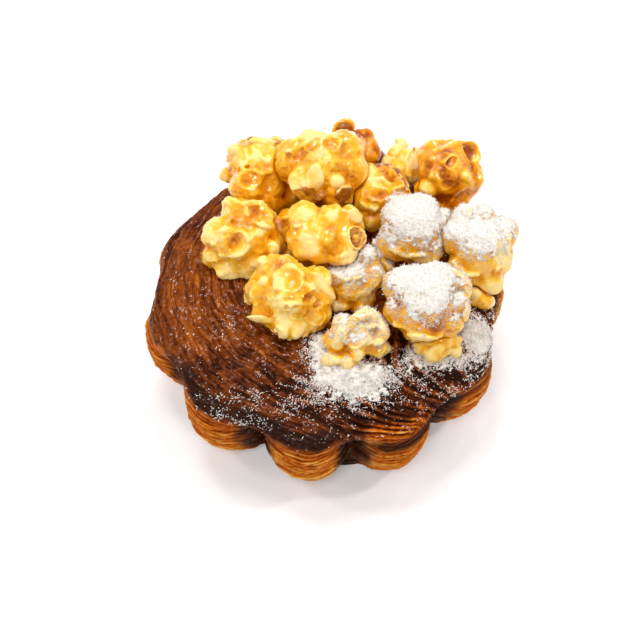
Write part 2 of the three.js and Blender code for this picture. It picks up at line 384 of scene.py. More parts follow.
class Recipe:
    """One material: a Principled shader and the nodes that feed it.

    The constants are named as the shader's sockets are, with underscores for spaces.
    """

    def __init__(self, name, **constants):
        self.material = bpy.data.materials.new(name)
        self.material.use_nodes = True
        self.tree = self.material.node_tree
        self.shader = self.tree.nodes["Principled BSDF"]
        for socket, value in constants.items():
            self.shader.inputs[socket.replace("_", " ")].default_value = value

    def node(self, kind, settings, values, output=0):
        """The output of a new node, from its settings and the values or links of its sockets."""
        node = self.tree.nodes.new(kind)
        for name, setting in settings.items():
            if name == "stops":
                self.set_stops(node.color_ramp, setting)
            else:
                setattr(node, name, setting)
        for key, value in values.items():
            self.feed(node.inputs[key], value)
        return Flow(self, node.outputs[output])

    def set_stops(self, ramp, stops):
        """Gives a colour ramp its (place, colour) stops."""
        while len(ramp.elements) < len(stops):
            ramp.elements.new(1.0)
        for element, (place, colour) in zip(ramp.elements, stops):
            element.position = place
            element.color = (*colour, 1.0)

    def feed(self, socket, value):
        """Links a flow to a socket, or sets its constant."""
        if isinstance(value, Flow):
            self.tree.links.new(value.socket, socket)
        elif isinstance(value, tuple) and len(value) == 3 and socket.type == "RGBA":
            socket.default_value = (*value, 1.0)
        else:
            socket.default_value = value

    def set(self, socket, value):
        """Feeds one of the shader's sockets."""
        self.feed(self.shader.inputs[socket], value)

    def place(self):
        """The place in the object, in metres."""
        return self.node("ShaderNodeTexCoord", {}, {}, output="Object")

    def attribute(self, name, output="Fac"):
        """A number, or with the output "Vector" a vector, that the mesh has at each point."""
        return self.node("ShaderNodeAttribute", {"attribute_name": name}, {}, output)

    def stretched(self, vector, scale):
        """A place or direction with each axis scaled by its own amount."""
        settings = {"operation": "MULTIPLY"}
        return self.node("ShaderNodeVectorMath", settings, {0: vector, 1: scale})

    def noise(self, vector, scale, detail, roughness, distortion=0.0):
        """Noise with as many bumps to a unit of the vector as the scale says."""
        values = {"Vector": vector, "Scale": scale, "Detail": detail,
                  "Roughness": roughness, "Distortion": distortion}
        return self.node("ShaderNodeTexNoise", {}, values)

    def ramp(self, value, stops):
        """The colour that a ramp gives to a value from 0 to 1."""
        return self.node("ShaderNodeValToRGB", {"stops": stops}, {0: value})

    def blend(self, part, first, second):
        """The first colour where the part is 0, the second where it is 1."""
        settings = {"data_type": "RGBA", "clamp_factor": True}
        return self.node("ShaderNodeMix", settings, {0: part, 6: first, 7: second}, output=2)

    def bump(self, height, distance, strength):
        """Tilts the shading as a relief would that is the distance high."""
        values = {"Height": height, "Distance": distance, "Strength": strength}
        self.set("Normal", self.node("ShaderNodeBump", {}, values, output="Normal"))


def tone(red, green, blue):
    """A colour picked on a screen, from 0 to 255, as the shader's linear light."""
    channels = [c / 255 for c in (red, green, blue)]
    return tuple(c / 12.92 if c <= 0.04045 else ((c + 0.055) / 1.055) ** 2.4 for c in channels)


def crust_finish():
    """Laminated crust: fine layer lines along the grain, dark where it caught the heat,
    and darkened by painted shade in the valleys, the grooves, under the rolled lip and at the foot.
    """
    recipe = Recipe("crust", Coat_Roughness=0.16, Specular_IOR_Level=0.05)
    place = recipe.place()
    grain = recipe.attribute("grain", "Vector")
    lines = recipe.noise(recipe.stretched(grain, (1.0, 0.12, 0.12)), 1.5, 4, 0.6)
    hairs = recipe.noise(recipe.stretched(grain, (2.6, 0.35, 0.35)), 1.7, 3, 0.6)
    patches = recipe.noise(place, 130, 3, 0.6)
    blisters = recipe.noise(place, 900, 3, 0.65)
    golden = recipe.attribute("golden")
    burnt = recipe.attribute("burnt")
    dusted = recipe.attribute("dusted")
    lift = recipe.attribute("lift")

    tint = lines * 0.46 + hairs * 0.3 + patches * 0.79 + blisters * 0.3
    # Raised layers are lighter and grooves darker, partly as painted shade; the foot is painted
    # darker.
    tops = recipe.ramp((lift * 0.6 + tint - 0.865).clamp(), [
        (0.05, tone(35, 10, 1)), (0.2, tone(80, 31, 2)), (0.36, tone(117, 52, 4)),
        (0.52, tone(146, 72, 8)), (0.8, tone(192, 112, 28))])
    sides = recipe.ramp((lift * 1.1 + tint * 0.22 - 0.17).clamp(), [
        (0.06, tone(84, 26, 3)), (0.22, tone(150, 62, 4)), (0.42, tone(196, 94, 10)),
        (0.64, tone(218, 128, 30)), (0.9, tone(240, 184, 92))])
    colour = recipe.blend(golden, tops, sides)
    # Towards near black: real char on the lip, painted shade in the valleys and under the rolled
    # lip.
    char_and_shade = (burnt * 1.5 + (patches - 0.5) * 1.2 * burnt).clamp()
    colour = recipe.blend(char_and_shade * 0.9, colour, tone(38, 18, 12))
    dust = (dusted * 1.2 + recipe.noise(place, 1100, 3, 0.7) * 2.2 - 2.15).rise(0.0, 0.3)
    recipe.set("Base Color", recipe.blend(dust * 0.8, colour, tone(240, 233, 226)))
    recipe.set("Roughness", (0.55 - 0.3 * patches + 0.4 * dust + 0.1 * burnt).clamp())
    glossy = (blisters + lift * 0.25 - 0.6).rise(0.0, 0.16)
    recipe.set("Coat Weight", ((0.8 - golden * 0.5) * (1 - dust) * glossy).clamp())
    recipe.bump(lines * 0.4 + hairs * 0.4 + blisters * 0.6, 0.5 * MM, 0.8)
    return recipe.material


def popcorn_finish():
    """Popped corn under clear caramel: cream where it is thin, amber where it has pooled.
    The amber in hollows, creases and undersides is partly painted shade, and the cream on sharp
    ridges partly a painted highlight.
    """
    recipe = Recipe(
        "popcorn", Subsurface_Weight=0.2, Subsurface_Scale=0.002,
        Subsurface_Radius=(1.0, 0.8, 0.45), Specular_IOR_Level=0.25,
        Specular_Tint=(1.0, 0.84, 0.5, 1.0), Coat_Roughness=0.02,
    )
    place = recipe.place()
    glaze = recipe.attribute("glaze")
    hull = recipe.attribute("hull")
    bran = recipe.attribute("bran")
    sugar = recipe.attribute("sugar")
    swirl = recipe.noise(place, 230, 2, 0.4, 1.2)
    ripple = recipe.noise(place, 520, 2, 0.5, 1.0)
    fine = recipe.noise(place, 1000, 3, 0.6)
    wet = glaze.rise(0.0, 0.25)
    pool = (glaze + (swirl - 0.5) * 0.16).rise(0.22, 0.42)
    depth = glaze * 0.76 + pool * 0.12 + glaze.rise(0.6, 1.0) * 0.12
    depth = (depth + (swirl - 0.5) * 0.14 + (fine - 0.5) * 0.05).clamp()
    colour = recipe.ramp(depth, [
        (0.0, tone(250, 217, 140)), (0.09, tone(250, 206, 96)), (0.2, tone(250, 195, 60)),
        (0.34, tone(247, 186, 42)), (0.5, tone(241, 170, 20)), (0.66, tone(228, 148, 8)),
        (0.82, tone(204, 118, 1)), (1.0, tone(152, 70, 0))])
    speck = recipe.noise(place, 1300, 4, 0.7)
    husk = recipe.ramp((speck * 0.9 + 0.5 - bran * 0.7).clamp(), [
        (0.1, tone(64, 22, 2)), (0.35, tone(122, 56, 6)), (0.6, tone(176, 104, 26)),
        (0.8, tone(222, 164, 84))])
    colour = recipe.blend(hull, colour, husk)
    powder = (sugar * 1.2 + fine * 1.6 - 1.86).rise(0.0, 0.4)
    recipe.set("Base Color", recipe.blend(powder * 0.92, colour, tone(250, 246, 240)))
    recipe.set("Roughness", (0.3 - 0.24 * wet + 0.6 * powder + 0.15 * hull).clamp())
    clear = 1.0 - 0.55 * glaze.rise(0.55, 0.85)
    recipe.set("Coat Weight", (wet * (1 - powder) * clear).clamp())
    height = fine * 0.14 * (1 - wet * 0.85) + swirl * 0.8 + pool * 0.2 + ripple * wet * 0.12
    recipe.bump(height, 0.6 * MM, 0.8)
    return recipe.material


def sugar_finish():
    """Dry white sugar."""
    recipe = Recipe("powdered sugar", Roughness=0.75, Subsurface_Weight=0.15,
                    Subsurface_Scale=0.0008, Specular_IOR_Level=0.35)
    place = recipe.place()
    clumps = recipe.noise(place, 2200, 3, 0.7)
    # The dips of the clumps are painted greyer and warmer, as shade between the grains.
    recipe.set("Base Color", recipe.ramp(
        clumps, [(0.3, tone(213, 200, 189)), (0.58, tone(243, 237, 230))]))
    recipe.bump(clumps, 0.3 * MM, 0.6)
    return recipe.material


def floor_finish():
    """A white table that glows a little, as on a light table."""
    recipe = Recipe("floor", Roughness=0.9, Emission_Strength=0.25)
    recipe.set("Base Color", (0.82, 0.82, 0.82))
    recipe.set("Emission Color", (1.0, 1.0, 1.0))
    return recipe.material


# ==== Powdered sugar: where it lies ====
# Each drift is x, y, half width, half depth and strength: first the thick ones, then the light
# dusting around them.
DRIFTS = (
    (8, -32, 14, 5.4, 1.08), (10, -38.5, 10, 4, 0.6), (-2, -22, 4.5, 8, 1.1),
    (32, -25.5, 12, 4.4, 1.12), (45, -16, 5.0, 8.2, 1.45), (50.5, -14, 4, 11, 0.75),
    (20, -33, 28, 7, 0.3), (5, -39, 34, 9, 0.26), (-19, -44, 24, 7, 0.26),
    (-23, -16, 22, 18, 0.07), (-44, 3, 9, 20, 0.04), (46, -28, 12, 9, 0.25),
)


def sugar_on_pastry(x, y):
    """How thickly the pastry is dusted at a place, about 0 to 1."""
    total = 0
    for cx, cy, wide, deep, strength in DRIFTS:
        away = ((x - cx) / wide) ** 2 + ((y - cy) / deep) ** 2
        total = total + strength * np.exp(-1.1 * away)
    return total


# ==== The pastry ====
AROUND = 500
SIDE_RINGS = 136
LIP_RINGS = 30
TOP_RINGS = 174

# The way up is the height on the side. It runs on over the lip, from the side's top to the lip's
# end, where the crown starts at this share of the lip's reach, and from there inwards. The top
# laps over the side at the seam, and what is under the lap ends at the hidden height.
SIDE_TOP = 27.5
LIP_WAY = 34
SEAM = 31.0
CROWN_SHARE = 0.975
HIDDEN_END_HEIGHT = 27.0

# The rolled dough comes together at one point of the lip, at the right of the front.
PINCH_ANGLE = math.radians(-30)
PINCH_REACH = 57.5
PINCH_X, PINCH_Y = PINCH_REACH * math.cos(PINCH_ANGLE), PINCH_REACH * math.sin(PINCH_ANGLE)

# The turns of the dough that end in a ledge, and the headings, in degrees, between which the lip
# is scorched and the rolled top hangs over the side. A heading fades in from the first number to
# the second and out from the third to the fourth.
LEDGE_TURNS = (14, 18.5, 23, 27.5, 32, 36, 39.5, 43, 46.5)
SCORCHED = (205, 222, 266, 280)
ROLLED_OVER = (279, 287, 318, 328)


def fold_reach(x, y):
    """Which turn of the rolled dough a place on the top is on, in millimetres.

    Near the pinch the turns are circles that all touch there. Away from it they run round the
    dish.
    """
    dx, dy = x - PINCH_X, y - PINCH_Y
    inward = -(dx * math.cos(PINCH_ANGLE) + dy * math.sin(PINCH_ANGLE))
    pinched = (dx**2 + dy**2) / (2 * np.maximum(inward, 1.0))
    return mix(pinched, np.hypot(x - 4, y - 5), smoothstep(20, 85, np.hypot(dx, dy)))


def rolled(points):
    """The turn of the dough at each point, wavering as hand-rolled dough does."""
    turn = fold_reach(points[..., 0], points[..., 1])
    return turn + 1.3 * noise(points / 12, 91) + 0.5 * noise(points / 4.2, 92)


def side_profile(angle):
    """The side from the middle of the base to the lip: reach, height and the way up it."""
    rings = []
    for part in (0.0, 0.35, 0.7, 0.9, 0.97):
        rings.append((side_reach(angle, 0) * part - 0.8 * (part > 0), 0 * angle, 0 * angle))
    for height in np.linspace(0.5, SIDE_TOP, SIDE_RINGS):
        rings.append((side_reach(angle, height), height + 0 * angle, height + 0 * angle))
    return rings


def lip_profile(angle):
    """The rolled lip, from the top of the side over on to the crown."""
    lip = lip_reach(angle)
    side = side_reach(angle, SIDE_TOP)
    crown = lip * CROWN_SHARE
    crown_height = top_height(crown * np.cos(angle), crown * np.sin(angle))
    rings = []
    for part in np.linspace(0, 1, LIP_RINGS + 2)[1:-1]:
        bulge = mix(side, lip, smoothstep(0, 0.55, part))
        reach = mix(bulge, crown, max(0, part - 0.55) / 0.45)
        rise = 0.25 * part + 0.75 * math.sin(part * math.pi / 2) ** 1.3
        height = mix(SIDE_TOP, crown_height, rise)
        rings.append((reach, height, mix(SIDE_TOP, LIP_WAY, part) + 0 * angle))
    return rings


def top_profile(angle):
    """The crown from the lip to its middle. The rings lie closest together at the lip."""
    lip = lip_reach(angle)
    rings = []
    for step in np.linspace(0, 1, TOP_RINGS):
        part = CROWN_SHARE * (1 - 0.62 * step - 0.38 * step**3)
        scallop = smoothstep(0.7, 1.0, part)
        reach = part * mix(LIP_REACH - 1.2, lip, scallop)
        height = top_height(reach * np.cos(angle), reach * np.sin(angle))
        rings.append((reach, height, LIP_WAY + LIP_REACH * (CROWN_SHARE - part) + 0 * angle))
    return rings


def layers(way, cosine, sine, wander, seed):
    """Edges of stacked dough layers: a row of ragged steps with a sharp brow, 0 to 1."""
    row = np.stack([way * 0.1, cosine * 5, sine * 5], -1)
    phase = way + wander * noise(row, seed) + 0.3 * noise(row * 3.1, seed + 1)
    rank = np.floor(phase)
    step = phase - rank
    keep = 0.55 + 0.45 * noise(np.stack([rank * 3.7, cosine * 7, sine * 7], -1), seed + 2)
    return step**1.5 * (1 - smoothstep(0.82, 1.0, step)) * 1.35 * keep


def relief(points, way, angle):
    """How far the baked skin stands out of the plain one, and how high it is in its layers.
    The colour is painted lighter the higher it is, so the grooves and the gaps under the brows
    are darker, partly as painted shade.

    The top has folds, ledges, grooves, blisters and cracks along the turns of the dough. The side
    has the edges of its sheets and leaves, one over another. Each pattern is divided by its own
    width, and its factor is how far it stands out, all in millimetres.
    """
    cosine, sine = np.cos(angle), np.sin(angle)
    height = points[..., 2]
    on_side = 1 - smoothstep(27.5, 31.5, way)
    on_top = smoothstep(29.0, 33, way)
    turn = rolled(points)
    pinch = np.hypot(points[..., 0] - PINCH_X, points[..., 1] - PINCH_Y)
    calm = smoothstep(1.5, 9, pinch)
    front = hump(pinch, 0, 52)
    long = grooves(np.stack([turn / 2.3, cosine * 1.6, sine * 1.6], -1), 21, 0.17)
    fine = grooves(np.stack([turn / 0.95, cosine * 3, sine * 3], -1), 25, 0.24)
    folds = layers(turn / 3.0, cosine * 0.7, sine * 0.7, 0.7, 29) * calm
    small = layers(turn / 1.5, cosine, sine, 0.8, 35) * calm
    ledges = 0
    for place in LEDGE_TURNS:
        past = turn - place
        ledges = ledges + 0.5 * hump(past + 1.3, 0, 1) - 1.3 * hump(past, 0, 0.6)
    ledges = ledges * front * calm * np.clip(0.6 + 0.8 * noise(points / 9, 77), 0, 1)
    blister = rough_noise(points / 1.5, 83, 2)
    crackle = grooves(points / 2.6, 85, 0.12)
    lump = rough_noise(points / 8.0, 71, 2)
    top = (0.2 + 1.5 * front) * folds + (0.15 + 0.3 * front) * small - 0.25 * long - 0.16 * fine
    top += 0.4 * lump + 0.26 * blister - 0.16 * crackle - 0.25 + 1.1 * ledges
    level = height + 0.7 * lump + 0.1 * noise(points / 2.5, 46)
    sheets = layers(level / 1.35, cosine * 0.8, sine * 0.8, 0.7, 47)
    leaves = layers(level / 4.6, cosine * 0.7, sine * 0.7, 0.5, 58)
    side = 1.1 * sheets + 0.6 * leaves + 0.3 * lump + 0.16 * blister - 0.2 * crackle - 0.75
    out = on_top * top + on_side * side
    # Lighter on raised folds and ledges and darker in the grooves, partly as painted shade, and
    # darker towards the front.
    lift = 0.61 + (0.2 + 0.9 * front) * folds + 0.25 * front * small - 0.27 * long - 0.24 * fine
    lift = lift + 0.7 * ledges + 0.15 * blister - 0.1 * crackle - 0.42 * front
    lift = lift - 0.26 * smoothstep(8, 34, -points[..., 1])
    side_lift_and_shade = 0.85 * sheets + 0.25 * leaves + 0.16 * blister + 0.08
    # Painted shade: the foot of the side is darker where it meets the floor.
    side_lift_and_shade -= 0.22 * (1 - smoothstep(1, 8, height))
    return out * smoothstep(0.0, 4.0, height), on_top * lift + (1 - on_top) * side_lift_and_shade


def crust_values(points, way, angle, lift):
    """What the finish needs at each point of the crust.

    The faces of the flutes are golden below the brow, and fade out at the foot as painted shade.
    The edge of the lip is burnt, the valleys and a band under the rolled lip are darkened as
    painted shade, and the top alone is dusted.
    """
    x, y, height = np.moveaxis(points, -1, 0)
    off = np.abs(angle_from_flute(angle)) / (FLUTE_PITCH / 2)
    face = 1 - smoothstep(0.5, 0.85, off + 0.12 * noise(points / 4.0, 15))
    heading = np.degrees(angle) % 360
    front = 0.5 - 0.5 * np.sin(angle)
    rolled_over = between(heading, *ROLLED_OVER)
    brow = 31.6 - 2.5 * (1 - front) + 4.8 * rolled_over + 1.2 * noise(points / 3.5, 16)
    on_side = 1 - smoothstep(-1.2, 1.2, way - brow)
    # Lighter at the top of the side, under the brow.
    lift = lift + 0.1 * on_side * smoothstep(30, 33, way)
    # Golden on the flute faces, fading out over the bottom 3 mm as painted shade at the foot.
    golden = on_side * face * smoothstep(0.3, 3.0, height)
    # Painted shade in the valleys between the flutes.
    valley = (1 - smoothstep(29, 32, way)) * (1 - face)
    scorched = between(heading, *SCORCHED) + 0.12
    edge = hump(way, 34.6, 3.0) * np.clip(scorched, 0, 1)
    # Painted shade in a band under the rolled lip.
    band = hump(way, 28.6, 1.8) * smoothstep(283, 290, heading)
    band *= 1 - 0.6 * smoothstep(316, 326, heading)
    burnt = np.clip(edge * (0.95 + 0.5 * noise(points / 5.0, 17)) + 0.55 * valley + band, 0, 1)
    dusted = sugar_on_pastry(x, y) * smoothstep(29, 32, way)
    return {"golden": golden, "burnt": burnt, "dusted": dusted, "lift": lift}


def ring_faces(rings, around):
    """Quads between rings of points, and fans to two middle points that follow the rings."""
    index = np.arange(rings * around).reshape(rings, around)
    after = np.roll(index, -1, axis=1)
    faces = np.stack([index[:-1], after[:-1], after[1:], index[1:]], -1).reshape(-1, 4).tolist()
    first, last = index.size, index.size + 1
    faces += [[first, b, a] for a, b in zip(index[0], after[0])]
    faces += [[a, b, last] for a, b in zip(index[-1], after[-1])]
    return faces


def crust_part(name, rings, tuck, finish):
    """One closed part of the crust, from rings that run up and in.

    The tuck says how far each place on the way up lies under the crust that laps over it.
    """
    turns = np.arange(AROUND) / AROUND * FLUTES
    angle = np.radians(np.interp(turns, np.arange(FLUTES + 1.0), FLUTE_HEADINGS))
    reach, height, way = [np.array(column) for column in zip(*rings(angle))]
    turn = np.broadcast_to(angle, reach.shape)
    points = np.stack([reach * np.cos(turn), reach * np.sin(turn), height], -1)
    across = np.roll(points, -1, axis=1) - np.roll(points, 1, axis=1)
    normal = np.cross(across, np.gradient(points, axis=0))
    normal /= np.maximum(np.linalg.norm(normal, axis=-1, keepdims=True), 1e-9)
    out, lift = relief(points, way, turn)
    values = crust_values(points, way, turn, lift)
    points = points + normal * (out - tuck(way))[..., None]
    points[..., 2] = np.where(height < 0.3, 0, np.maximum(points[..., 2], 0.2))
    grain = np.stack([
        mix(height, rolled(points) * 1.25, smoothstep(28, 33, way)),
        np.cos(turn) * 9, np.sin(turn) * 9], -1)

    starts_on_floor = height[0].max() < 0.3
    ends_in_middle = reach[-1].max() < 5
    middles = [[0, 0, 0.0 if starts_on_floor else HIDDEN_END_HEIGHT],
               [0, 0, points[-1, :, 2].mean() if ends_in_middle else HIDDEN_END_HEIGHT]]
    flat = np.vstack([points.reshape(-1, 3), middles])
    part = mesh_object(name, flat, ring_faces(*reach.shape), finish, {
        label: np.append(numbers.reshape(-1), [0, 0]) for label, numbers in values.items()})
    layer = part.data.attributes.new("grain", "FLOAT_VECTOR", "POINT")
    stack = np.vstack([grain.reshape(-1, 3), np.zeros((2, 3))])
    layer.data.foreach_set("vector", stack.astype(np.float32).ravel())
    return part


def make_pastry(finish):
    """The side and the top of the pastry. They lap under the lip, where the dough is layered."""
    def side_rings(angle):
        """The side, and the lip above it, as far as the top laps over it."""
        return side_profile(angle)[1:] + lip_profile(angle)

    def top_rings(angle):
        """The top, and the lip from just below the seam."""
        lip = [ring for ring in lip_profile(angle) if ring[2].max() > SEAM - 1.2]
        return lip + top_profile(angle)

    side = crust_part("pastry_side", side_rings,
                      lambda way: 0.9 * smoothstep(SEAM - 0.4, SEAM + 1.6, way), finish)
    top = crust_part("pastry_top", top_rings,
                     lambda way: 0.7 * (1 - smoothstep(SEAM - 1.2, SEAM + 0.2, way)), finish)
    dusted = numbers_of(top.data, "dusted")
    spots = np.array([vertex.co for vertex in top.data.vertices]) / MM
    patchy = np.clip(0.45 + 1.3 * rough_noise(spots / 4.5, 5, 3), 0.04, 2.5)
    caught = np.clip(0.3 + 1.3 * numbers_of(top.data, "lift"), 0.1, 1.6)
    set_numbers(top.data, "sprinkle", np.clip(dusted**1.35 * patchy * caught, 0, 1))
    return side, top


# ==== The popcorn ====
# Each row is one piece, in millimetres and degrees. Where a row leaves a word out, PLAIN has it.
#   at: the centre, as in the frame
#   glaze: how deep the caramel lies, 0 to 1, to which the skin adds painted shade in hollows
#   sugar: how much sugar fell on it; above 0.5 it has a thick cap, and at 0 none
#   rough: how far the skin billows
#   buds, the round lobes that the piece is made of: (across, up, out, radius), where "out" looks
#     square onto the sloping face of the heap, "across" is +X and "up" climbs that face
# What follows lies on the skin, at a place across and up:
#   bowls, burst bubbles with a rim: (across, up, radius, stretch, turn)
#   folds, raised cords of skin: (radius, place, place, ...)
#   plates, thin lobes: (across, up, half length, half width, turn, lean), and how far out, for one
#     that stands by itself
#   eyes, cups where the kernel shows: (across, up, radius)
#   hulls, brown bran: (across, up, half length, half width, turn, darkness from 0 to 1)
#   knobs, small round lobes: (across, up, radius)
#   seeds, small dark kernels: (across, up, out, radius)
#   cream and amber, where the caramel is thin or deep: (across, up, radius)
PLAIN = dict(sugar=0, rough=0.8, bowls=[], folds=[], plates=[], eyes=[], hulls=[], knobs=[],
             seeds=[], cream=[], amber=[])
